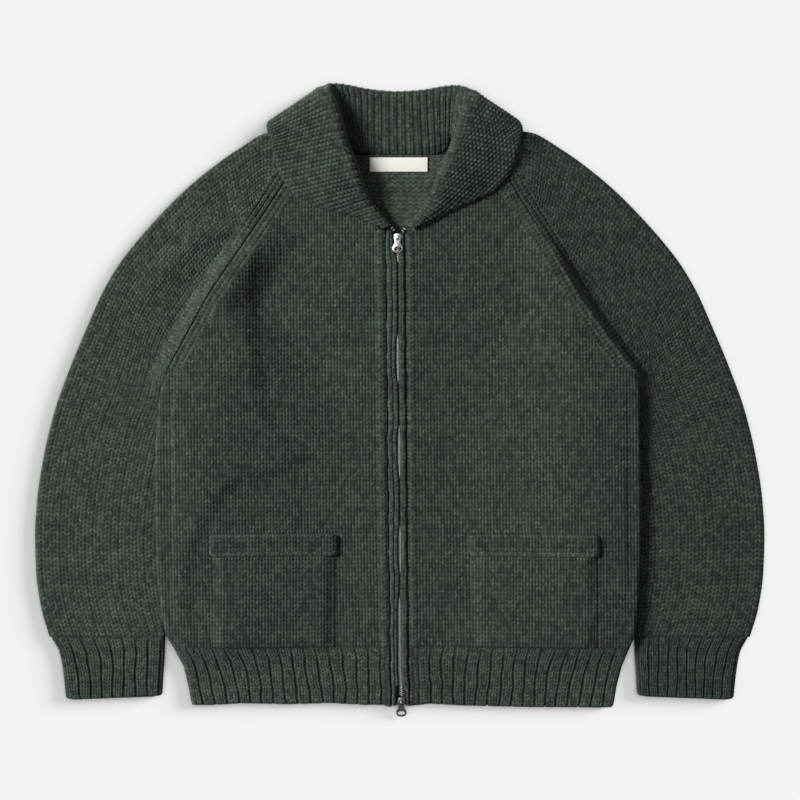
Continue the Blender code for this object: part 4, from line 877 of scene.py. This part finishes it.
def make_collar(node, finishes):
    collar = Collar()
    stand = collar.width[-1] * np.linspace(1, 0, STAND_COLUMNS) ** STAND_CROWDING
    fall = collar.width[1] * np.linspace(0, 1, FALL_COLUMNS)[1:] ** FALL_CROWDING
    outer, inside = (
        np.concatenate([collar.place(stand, -1, hidden), collar.place(fall, 1, hidden)], 1)
        for hidden in (False, True)
    )
    signed = np.concatenate([-stand, fall], 1)
    on_stand, on_fall = signed <= 0, smooth(*FALL_STITCHES, signed)
    shown = smooth(0.1, 0.5, np.where(on_stand, 1 - collar.on_top, collar.on_top))
    shown = np.maximum(shown, 1 - smooth(6, 14, np.abs(signed)))
    row = np.arange(len(outer))[:, None]
    u, v = row / COLLAR_RIB_ROWS, signed / COURSE
    stitch, raised = rib(u + 0.5, v, 1, COLLAR_RIB_GAP)
    stitch = stitch * (1 - on_fall) + beads(2 * (u + 0.5), signed / BEAD) * on_fall
    # Lower in the ribs' grooves, in shape and, through the material, as painted shade.
    height = stitch * (0.68 + 0.32 * raised) + 0.07 * (1 - on_fall)
    ribs = COLLAR_RIB_RISE * (1 - 0.8 * on_fall) * (raised - 0.6)
    rise = shown * (STITCH_RISE * (1 + 0.7 * on_fall) * (height - 0.5) + ribs)
    at_neck = edge_drop(collar.width[-1] + signed, 3.2, 11.0)
    at_edge = edge_drop(collar.width[1] - signed, 1.8, 4.0)
    rise = rise + np.where(on_stand, at_neck, at_edge) + edge_drop(np.minimum(row, len(outer) - 1 - row) * 1.5)
    normal = grid_normals(outer)
    normal = normal * np.where((normal * (outer - inside)).sum(-1) < 0, -1, 1)[..., None]
    outer = outer + normal * rise[..., None]
    outer[..., 2] = np.maximum(outer[..., 2], 0)
    inner = np.concatenate([collar.place(collar.width[side] * k, side, True) for side, k in COLLAR_INNER], 1)
    knit = xyz(u, v, height * shown + 0.5 * (1 - shown))
    return shell(node, outer, inner[::COLLAR_RIB_ROWS], finishes, knit)


def teeth_lean(y):
    """How far the row of teeth lies beside the zip's middle line, where the bands leave it open."""
    return linear(TEETH_LEAN, 1, y)


def make_band(hand, node, finishes):
    y = np.arange(HEM_BOTTOM, BAND_TOP + 0.1, ALONG)
    gap = linear(BAND_GAPS, 1, y)
    gap = np.where(gap < CLOSED_BELOW, CLOSED_GAP, gap * np.where(y < OPEN_BELOW, OPEN_SHARE, 1.0))
    gap = np.convolve(np.pad(gap, 4, mode="edge"), np.ones(9) / 9, mode="valid")
    gap = (np.where(y < HEM_GAP[0], HEM_GAP[1], gap) + hand * teeth_lean(y))[:, None]
    y = y[:, None]
    edge = band_edge(y, hand) - SEAM / 2 + wobble(y, hand)
    wales = 2 if hand < 0 else 1
    share = np.linspace(0, 1, 6 * wales + 3)
    across = edge + (gap - edge) * share
    x, u, v = zip_x(y) + hand * across, share * wales, y / COURSE
    height = 0.4 * plain(u, v) + 0.6 * beads(u, y / BAND_LOOP)
    top = BAND_Z[1] + 0.3 + BAND_RELIEF * STITCH_RISE * (height - 0.5)
    top = top + edge_drop(np.minimum(across - gap, edge - across), 1.7, 2.0)
    pick = np.ix_(spaced(len(y), 40), [0, x.shape[1] // 2, x.shape[1] - 1])
    return shell(node, xyz(x, y, top), xyz(x, y, BAND_Z[0])[pick], finishes, xyz(u, v, height))


def pocket_grid(hand, left, right, ys):
    """Points in plan over a pocket or its band, and their wales: those of the front beside it."""
    start = front_start(sum(POCKETS[hand][2:]) / 2, hand)
    near, far = sorted((abs(left), abs(right)))
    steps = np.arange(math.ceil((near - start) / ACROSS), (far - start) / ACROSS) * ACROSS + start
    xs = np.concatenate([[near], steps[steps > near + 0.2], [far]])
    x, y = np.meshgrid(hand * xs[::hand], ys)
    return x, y, (np.abs(x) - start) / WALE


def pocket_shell(node, hand, x, y, knit, edge, profile, finishes, moved=0.0, drop=0.0):
    """A pocket or its band, sewn down softly: edge is 0 at the sewn sides and 1 where it lies free."""
    low, high = POCKETS[hand][2:]
    clear = POCKET_CLEAR[0] + (POCKET_CLEAR[1] - POCKET_CLEAR[0]) * (y - low) / (high - low)
    under = front_top(x, y) + clear * (0.3 + 0.7 * edge)
    rise = STITCH_RISE * (knit[..., 2] - LEVEL) * (0.6 + 0.4 * edge)
    top = under + POCKET_WALL * profile * (0.16 + 0.84 * edge) + rise
    pick = np.ix_(spaced(len(x), 2 + len(x) // 14), spaced(x.shape[1], 15))
    return shell(node, xyz(x, y + moved, top + drop), xyz(x, y, under)[pick], finishes, knit)


def make_pocket(hand, node, finishes):
    left, right, low, high = POCKETS[hand]
    high = high - POCKET_BAND - SEAM
    x, y, u = pocket_grid(hand, left, right, np.append(np.arange(low, high - 0.3, ALONG), high))
    edge = smooth(-1, 15, np.minimum(x - left, right - x)) * smooth(-5, 9, y - low)
    knit = xyz(u, y / COURSE, plain(u, y / COURSE))
    return pocket_shell(node, hand, x, y, knit, edge, 1 - 0.25 * (1 - smooth(0, 2.0, high - y)), finishes)


def make_pocket_band(hand, node, finishes):
    left, right, _, high = POCKETS[hand]
    left, right, low = left - POCKET_PROUD, right + POCKET_PROUD, high - POCKET_BAND
    x, y, u = pocket_grid(hand, left, right, np.linspace(low, high, int(POCKET_BAND / 1.1) + 1))
    v, up, to_end = y / COURSE, (y - low) / POCKET_BAND, np.minimum(x - left, right - x)
    at_ridge = 1 - smooth(0.16, 0.24, up)
    height = plain(u, v) * (1 - at_ridge) + (0.3 + 0.7 * seed(u * 1.3, v)) * at_ridge
    corner = 5.0 * (1 - rounded(to_end / 7.0)) * (0.5 - up) * 2
    profile, drop, knit = linear(POCKET_BAND_PROFILE, 1, up), edge_drop(high - y, 0.8, 2.0), xyz(u, v, height)
    return pocket_shell(node, hand, x, y, knit, rounded(to_end / 8.0), profile, finishes, corner, drop)


def make_label(node, finishes):
    left, right, low, high = LABEL
    x, y = np.meshgrid(np.linspace(left, right, 60), np.linspace(low, high, 16))
    under = lower_z(x, y) + WALL + LABEL_CLEAR
    inward = np.minimum(np.minimum(x - left, right - x), np.minimum(y - low, high - y))
    bow = LABEL_BOW * np.sin(np.pi * (x - left) / (right - left)) * np.sin(np.pi * (y - low) / (high - low))
    top = under + LABEL_THICK + bow - 0.45 * np.exp(-(((inward - 1.6) / 0.7) ** 2))
    inner = xyz(x, y, under)[np.ix_([0, 5, 10, 15], [0, 10, 20, 30, 40, 50, 59])]
    return shell(node, xyz(x, y, top), inner, finishes, xyz(x, y, 1.0), name="label_cloth_piece")


def make_tape(hand, node, finishes):
    y = np.linspace(HEM_BOTTOM + 4, NECK_FRONT + 2, 120)[:, None]
    x = zip_x(y) + hand * np.array([TAPE_SPAN[0], TAPE_SPAN[0] + 0.6, 4.6, 6.4, TAPE_SPAN[1]])
    outer = xyz(x, y, TAPE_Z[1] + np.array([-0.1, 0.15, 0, 0, 0]))
    inner = xyz(x, y, TAPE_Z[0])[::7, ::4]
    return shell(node, outer, inner, finishes, xyz(x, y, 1.0))


def rounded_box(centre, size, turn=0.0, chamfer=0.28):
    """Points and faces of a box with chamfered upper edges."""
    w, l, h = (s / 2 for s in size)
    corners = np.array([(-w, -l), (w, -l), (w, l), (-w, l)])
    drawn_in = corners * (1 - chamfer / w, 1 - chamfer / l * 0.8)
    points = np.concatenate([xyz(*c.T, z) for c, z in ((corners, -h), (corners, h - chamfer), (drawn_in, h))])
    c, s = math.cos(turn), math.sin(turn)
    faces = [[3, 2, 1, 0], [8, 9, 10, 11]]
    for i in range(4):
        j = (i + 1) % 4
        faces += [[i, j, 4 + j, 4 + i], [4 + i, 4 + j, 8 + j, 8 + i]]
    return points @ np.array([[c, s, 0], [-s, c, 0], [0, 0, 1]]) + np.array(centre), faces


def join_parts(parts):
    starts = np.cumsum([0] + [len(points) for points, _ in parts]).tolist()
    faces = [[start + i for i in face] for start, (_, part) in zip(starts, parts) for face in part]
    return np.concatenate([points for points, _ in parts]), faces


def make_chain(node, metal):
    """Single teeth, and the ends of the two rows above the upper slider."""
    parts = []
    for k, y in enumerate(np.arange(SLIDER_BOTTOM_Y + 7.5, SLIDER_TOP_Y - 6, TOOTH_PITCH / 2)):
        aside = -TOOTH_ASIDE if k % 2 else TOOTH_ASIDE
        parts.append(rounded_box((zip_x(y) + teeth_lean(y) + aside, y, TEETH_Z), TOOTH))
    parts += [rounded_box((x, y, STUB_Z), TOOTH, way * STUB_TURN) for x, y, way in STUB_TEETH]
    return dress(add_mesh("zip_teeth", *join_parts(parts), [metal], soft=False), node)


def cut_corners(outline, rounds=2):
    """A closed outline with its corners cut so many times."""
    points = np.array(outline, float)
    for _ in range(rounds):
        after = np.roll(points, -1, axis=0)
        points = np.stack([points * 0.75 + after * 0.25, points * 0.25 + after * 0.75], 1).reshape(-1, 2)
    return points


def plate(outline, z0, z1, bevel):
    """A plate with bevelled rims: rings of the outline, drawn in at the top and bottom."""
    tangent = unit(np.roll(outline, -1, axis=0) - np.roll(outline, 1, axis=0))
    normal = np.stack([tangent[:, 1], -tangent[:, 0]], 1)
    normal = normal * bevel * np.sign((normal * (outline - outline.mean(0))).sum(1).mean())
    ends = [(1, bevel * 0), (0.3, bevel * 0.3), (0, bevel)]
    levels = [(inset, z0 + up) for inset, up in ends] + [(inset, z1 - up) for inset, up in ends[::-1]]
    return [xyz(*(outline - normal * inset).T, z) for inset, z in levels]


def loft(rings, hole=None):
    """A closed solid over a stack of rings, with a matching stack for a hole through it."""
    n, points = len(rings[0]), np.concatenate(rings)
    number = np.arange(len(points)).reshape(-1, n)[:, [*range(n), 0]]
    faces = distinct(number)
    if hole is None:
        faces += [number[0, -2::-1].tolist(), number[-1, :-1].tolist()]
    else:
        inside = number + len(points)
        points = np.concatenate([points, *hole])
        faces += [f[::-1] for f in distinct(inside) + distinct(np.stack([number[0], inside[0]]))]
        faces += distinct(np.stack([number[-1], inside[-1]]))
    return points, outward(points, faces)


def slider_loop(x, y, foot_z):
    """The slider's loop: a round wire bent to a half ring on two legs."""
    radius_in, radius_out, width = SLIDER_LOOP
    middle, wire, foot = (radius_in + radius_out) / 2, (radius_out - radius_in) / 2, foot_z - HINGE_Z
    turn = np.linspace(0, math.pi, 15)
    path = np.array([(middle, foot), *zip(middle * np.cos(turn), middle * np.sin(turn)), (-middle, foot)])
    tangent = unit(np.gradient(path, axis=0))
    around = np.linspace(0, 2 * math.pi, 12, endpoint=False)
    side, out = width / 2 * np.cos(around), wire * np.sin(around)
    ys, zs = y + path[:, :1] + tangent[:, 1:] * out, HINGE_Z + path[:, 1:] - tangent[:, :1] * out
    return loft(xyz(x + side, ys, zs))


def sharpen(piece, degrees=32):
    """Edges steeper than this keep a crisp line."""
    piece.data.set_sharp_from_angle(angle=math.radians(degrees))
    return piece


def make_slider(node, y, way, metal):
    centre = np.array([zip_x(y), y])
    outline = cut_corners((centre + np.array(SLIDER) * (1, way))[::way])
    post = cut_corners(centre + np.array(SLIDER_POST) * (1, way), 1)
    lower, upper = SLIDER_PLATES
    parts = [loft(plate(outline, *upper, 0.35)), loft(plate(outline, *lower, 0.2))]
    parts += [loft(plate(post, lower[0] + 0.2, upper[1] - 0.4, 0.1)), slider_loop(*centre, upper[1] - 0.5)]
    return dress(sharpen(add_mesh(node + "_metal", *join_parts(parts), [metal])), node)


def make_pull(node, y, tilt, body, metal):
    """The tab: its outline with a slot at the hinge and an oval hole, with rounded rims."""
    right = np.array([(wide, -away) for away, wide in PULL_OUTLINE])
    line = cut_corners(np.concatenate([right, right[::-1] * (-1, 1)])[::-1])
    line = np.concatenate([line, line[:1]])
    along = arc_length(line)
    at = np.linspace(0, along[-1], PULL_POINTS, endpoint=False)
    outline = xyz(*(np.interp(at, along, numbers) for numbers in line.T))
    centre, half_long, half_wide = PULL_HOLE
    angles = np.arctan2(outline[:, 1] + centre, outline[:, 0])
    oval = xyz(half_wide * np.cos(angles), half_long * np.sin(angles) - centre)
    half = PULL_THICK / 2
    tab, hole = plate(outline, -half, half, PULL_BEVEL), plate(oval, -half, half, -PULL_BEVEL)
    piece = add_mesh(node + "_metal", *loft(tab, hole), [metal])
    cut_slot(piece)
    place = Matrix.Translation(Vector((zip_x(y), y, HINGE_Z)) * 0.001)
    piece.data.transform(place @ Matrix.Rotation(math.radians(-tilt), 4, "X"))
    return dress(sharpen(piece), node, body)


def cut_slot(piece):
    start, end, half = PULL_SLOT
    corners = np.array([(-half, -end), (half, -end), (half, -start), (-half, -start)])
    block = loft([xyz(*corners.T, z) for z in (-3, 3)])
    tool = add_mesh("slot_tool", *block, list(piece.data.materials), soft=False)
    modifier = piece.modifiers.new("slot", "BOOLEAN")
    modifier.operation = "DIFFERENCE"
    modifier.object = tool
    bpy.context.view_layer.update()
    mesh = bpy.data.meshes.new_from_object(piece.evaluated_get(bpy.context.evaluated_depsgraph_get()))
    piece.modifiers.remove(modifier)
    piece.data = mesh
    bpy.data.objects.remove(tool)


class Finish:
    """A material with its nodes. Sockets and plain values both go in as inputs."""

    def __init__(self, name):
        self.material = bpy.data.materials.new(name)
        self.material.use_nodes = True
        self.tree = self.material.node_tree
        self.place = self.add("TexCoord").outputs["Object"]

    def fill(self, node, inputs):
        for key, value in dict(inputs).items():
            if isinstance(value, bpy.types.NodeSocket):
                self.tree.links.new(value, node.inputs[key])
            else:
                node.inputs[key].default_value = value
        return node

    def add(self, kind, inputs=(), **settings):
        node = self.tree.nodes.new("ShaderNode" + kind)
        for key, value in settings.items():
            setattr(node, key, value)
        return self.fill(node, inputs)

    def surface(self, inputs):
        self.fill(self.tree.nodes["Principled BSDF"], inputs)
        return self.material

    def math(self, operation, *values):
        return self.add("Math", dict(enumerate(values)), operation=operation).outputs[0]

    def product(self, a, b, *more):
        return self.product(self.math("MULTIPLY", a, b), *more) if more else self.math("MULTIPLY", a, b)

    def mixed(self, a, b, share):
        return self.math("ADD", self.product(a, share), self.product(b, 1 - share))

    def noise(self, scale, detail=2.0, roughness=0.5):
        inputs = {"Vector": self.place, "Scale": scale, "Detail": detail, "Roughness": roughness}
        return self.add("TexNoise", inputs).outputs["Fac"]

    def attribute(self, name, output):
        return self.add("Attribute", attribute_name=name).outputs[output]

    def axes(self, vector):
        return self.add("SeparateXYZ", {0: vector}).outputs

    def ramp(self, value, stops):
        node = self.add("ValToRGB", {"Fac": value})
        elements = node.color_ramp.elements
        while len(elements) < len(stops):
            elements.new(0.5)
        for element, (position, colour) in zip(elements, stops):
            element.position, element.color = position, (*colour, 1)
        return node.outputs["Color"]

    def tint(self, colour, value):
        return self.add("VectorMath", {0: colour, "Scale": value}, operation="SCALE").outputs["Vector"]

    def spread(self, value, low, high, out_low, out_high):
        inputs = {"Value": value, "From Min": low, "From Max": high, "To Min": out_low, "To Max": out_high}
        return self.add("MapRange", inputs).outputs["Result"]

    def bump(self, height, distance, strength, **more):
        inputs = {"Height": height, "Distance": distance, "Strength": strength, **more}
        return self.add("Bump", inputs).outputs["Normal"]


# Heather yarn: brown-grey, dark green, grey-green, teal and light olive fibres, as linear colours
HEATHER = [
    (0.34, (0.0536, 0.0445, 0.0344)),
    (0.43, (0.0276, 0.0357, 0.0284)),
    (0.50, (0.0414, 0.0540, 0.0396)),
    (0.57, (0.0260, 0.0460, 0.0374)),
    (0.66, (0.0804, 0.0858, 0.0598)),
]
YARN_GAIN = 1.02


def knit_material(name, underside=False):
    """Chunky heather wool. The relief comes with the mesh, and a flat underside has its stitches as bump."""
    wool = Finish(name)
    u, v, height = wool.axes(wool.attribute("knit", "Vector"))
    if underside:
        height = stitch_nodes(wool, u, v)
    colour = wool.ramp(wool.mixed(wool.noise(330.0, 1.5, 0.6), wool.noise(780.0, 2.0, 0.6), 0.7), HEATHER)
    # Colour gain: the relief value darkens the hollows between loops to 0.26 and lightens the loops' tops, painted
    # shade and painted light. The noises and the tone attribute are the yarn's own uneven colour.
    light = wool.product(
        wool.spread(height, 0.0, 0.9, 0.26, 1.14),
        wool.spread(wool.noise(1100.0, 1.0), 0.3, 0.7, 0.7, 1.3),
        wool.spread(wool.attribute("tone", "Fac"), 0.0, 1.0, 0.60, 1.46),
        wool.spread(wool.noise(16.0), 0.3, 0.7, 0.93, 1.07),
        YARN_GAIN,
    )
    normal = wool.bump(wool.noise(2400.0), 0.0003, 0.6)
    if underside:
        normal = wool.bump(height, 0.0009, 0.8, Normal=normal)
    return wool.surface({
        "Base Color": wool.tint(colour, light), "Roughness": 0.94, "Specular IOR Level": 0.18, "Normal": normal,
        "Sheen Weight": 0.12, "Sheen Roughness": 0.5,
    })


def stitch_nodes(wool, u, v):
    """A plain-knit relief like that of loops(), as nodes."""
    w = wool.product(wool.math("ABSOLUTE", wool.math("SUBTRACT", wool.math("FRACT", u), 0.5)), 2.0)
    t = wool.math("FRACT", wool.math("SUBTRACT", v, wool.product(w, 0.75)))
    across = wool.math("POWER", wool.math("SINE", wool.product(w, math.pi)), 0.6)
    off = wool.math("ABSOLUTE", wool.math("SUBTRACT", wool.product(t, 2.0), 1.0))
    along = wool.math("SUBTRACT", 1.0, wool.math("POWER", off, 3.0))
    return wool.product(across, wool.math("ADD", wool.product(along, 0.5), 0.5))


def metal_material(name, gain):
    metal = Finish(name)
    wear = metal.noise(900.0, 3.0)
    plated = metal.ramp(wear, [(0.3, (0.60, 0.59, 0.56)), (0.7, (0.80, 0.79, 0.76))])
    normal = metal.bump(metal.noise(3000.0), 0.00005, 0.4)
    return metal.surface({
        "Base Color": metal.tint(plated, gain), "Metallic": 1.0, "Normal": normal,
        "Roughness": metal.spread(wear, 0.3, 0.7, 0.2, 0.36),
    })


def woven_material(name, dark, light, threads, relief):
    """A fine woven cloth: crossing threads as bump, the colour darker between the threads and lighter where they
    cross as painted shade and light, and a slight random change of tone.
    """
    cloth = Finish(name)
    x, y, _ = cloth.axes(cloth.place)
    waves = (cloth.math("SINE", cloth.product(axis, threads)) for axis in (x, y))
    weave = cloth.product(*(cloth.math("ABSOLUTE", wave) for wave in waves))
    # Darker between the threads and lighter where they cross: painted shade and light. The noise adds random tone.
    colour = cloth.ramp(cloth.mixed(weave, cloth.noise(600.0), 0.6), [(0.15, dark), (0.75, light)])
    normal = cloth.bump(weave, relief, 0.7)
    return cloth.surface({"Base Color": colour, "Roughness": 0.8, "Specular IOR Level": 0.25, "Normal": normal})


CAMERA_PLACE = (0.0003, 0.0, 2.2727)
FLOOR_SIZE = 8.0
FLOOR = {"Base Color": (0.8, 0.8, 0.8, 1), "Roughness": 1.0, "Specular IOR Level": 0.0}
# Each light: degrees about X and Y, strength, and how many degrees wide it is
KEY_TURN, KEY_SOFT = (-15.2, -56.7), 22.0
KEY_ENERGY = {"left": 6.4, "middle": 5.6, "right": 4.2}  # it stands on the left and weakens toward the right
KEY_ZONES = {"sleeve_right": "right", "cuff_right": "right"}
KEY_ZONES |= {node + "_right": "middle" for node in ("front", "hem", "band", "pocket", "pocket_band")}
LOW_LIGHT = ((-22.4, 68.0), 3.1, 26.0)
TOP_LIGHT = ((0.0, 0.0), 1.66, 70.0)
METAL_LIGHT = ((-24.0, -22.0), 1.05, 30.0)
FILL = 0.26


def add_sun(name, turn, energy, soft, receivers):
    """A soft distant light that falls on these objects only."""
    light = bpy.data.lights.new(name, "SUN")
    light.energy, light.angle = energy, math.radians(soft)
    obj = bpy.data.objects.new(name, light)
    obj.rotation_euler = (math.radians(turn[0]), math.radians(turn[1]), 0)
    bpy.context.scene.collection.objects.link(obj)
    group = bpy.data.collections.new(name + "_falls_on")
    for piece in receivers:
        group.objects.link(piece)
    obj.light_linking.receiver_collection = group


def studio(pieces):
    scene = bpy.context.scene
    bpy.ops.mesh.primitive_plane_add(size=FLOOR_SIZE, location=(0, 0, -0.0003))
    floor = bpy.context.object
    floor.name = "floor"
    floor.data.materials.append(Finish("pale_floor").surface(FLOOR))
    for zone, energy in KEY_ENERGY.items():
        lit = [p for p in pieces if KEY_ZONES.get(p.name.removesuffix("_cloth"), "left") == zone]
        add_sun("key_" + zone, KEY_TURN, energy, KEY_SOFT, lit)
    add_sun("low", *LOW_LIGHT, [floor])
    add_sun("top", *TOP_LIGHT, [floor])
    add_sun("metal", *METAL_LIGHT, [p for p in pieces if p.get("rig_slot") == "metal"])
    scene.world = bpy.data.worlds.new("studio")
    scene.world.use_nodes = True
    background = scene.world.node_tree.nodes["Background"].inputs
    background["Color"].default_value, background["Strength"].default_value = (1, 1, 1, 1), FILL
    scene.view_settings.view_transform = "Standard"
    camera = bpy.data.cameras.new("camera")
    camera.lens, camera.sensor_width, camera.clip_end = 85.0, 36.0, 50.0
    scene.camera = bpy.data.objects.new("camera", camera)
    scene.camera.location = CAMERA_PLACE
    scene.collection.objects.link(scene.camera)


def main():
    knit, ribbed = (
        [knit_material(name), knit_material(name + "_underside", True)] for name in ("knit", "rib_knit")
    )
    # Copies of one plating: metal_shaded is darkened to 0.3, painted shade on the lower slider and pull; the teeth's
    # copy is brightened to 1.1, painted light.
    metal, shaded = metal_material("metal", 0.85), metal_material("metal_shaded", 0.3)
    teeth = metal_material("metal_teeth", 1.1)
    tape = [woven_material("tape", (0.008, 0.010, 0.009), (0.030, 0.036, 0.032), 6000.0, 0.0002)]
    white = [woven_material("label_cloth", (0.62, 0.60, 0.545), (0.78, 0.76, 0.70), 7000.0, 0.0001)]
    pieces = [make_back("back", knit), make_hem_back("hem_back", ribbed)]
    for hand, side in ((-1, "_left"), (1, "_right")):
        for make, node, finishes in (
            (make_front, "front", knit),
            (make_hem_front, "hem", ribbed),
            (make_sleeve, "sleeve", knit),
            (make_cuff, "cuff", ribbed),
            (make_band, "band", knit),
            (make_pocket, "pocket", knit),
            (make_pocket_band, "pocket_band", knit),
            (make_tape, "zip_tape", tape),
        ):
            pieces.append(make(hand, node + side, finishes))
    pieces += [
        make_collar("collar", ribbed),
        make_label("label", white),
        make_chain("zip_chain", teeth),
        make_slider("slider_top", SLIDER_TOP_Y, 1, metal),
        make_slider("slider_bottom", SLIDER_BOTTOM_Y, -1, shaded),
        make_pull("pull_top", SLIDER_TOP_Y, PULL_TILT_TOP, "top_pull", metal),
        make_pull("pull_bottom", SLIDER_BOTTOM_Y, PULL_TILT_BOTTOM, "bottom_pull", shaded),
    ]
    studio(pieces)


main()
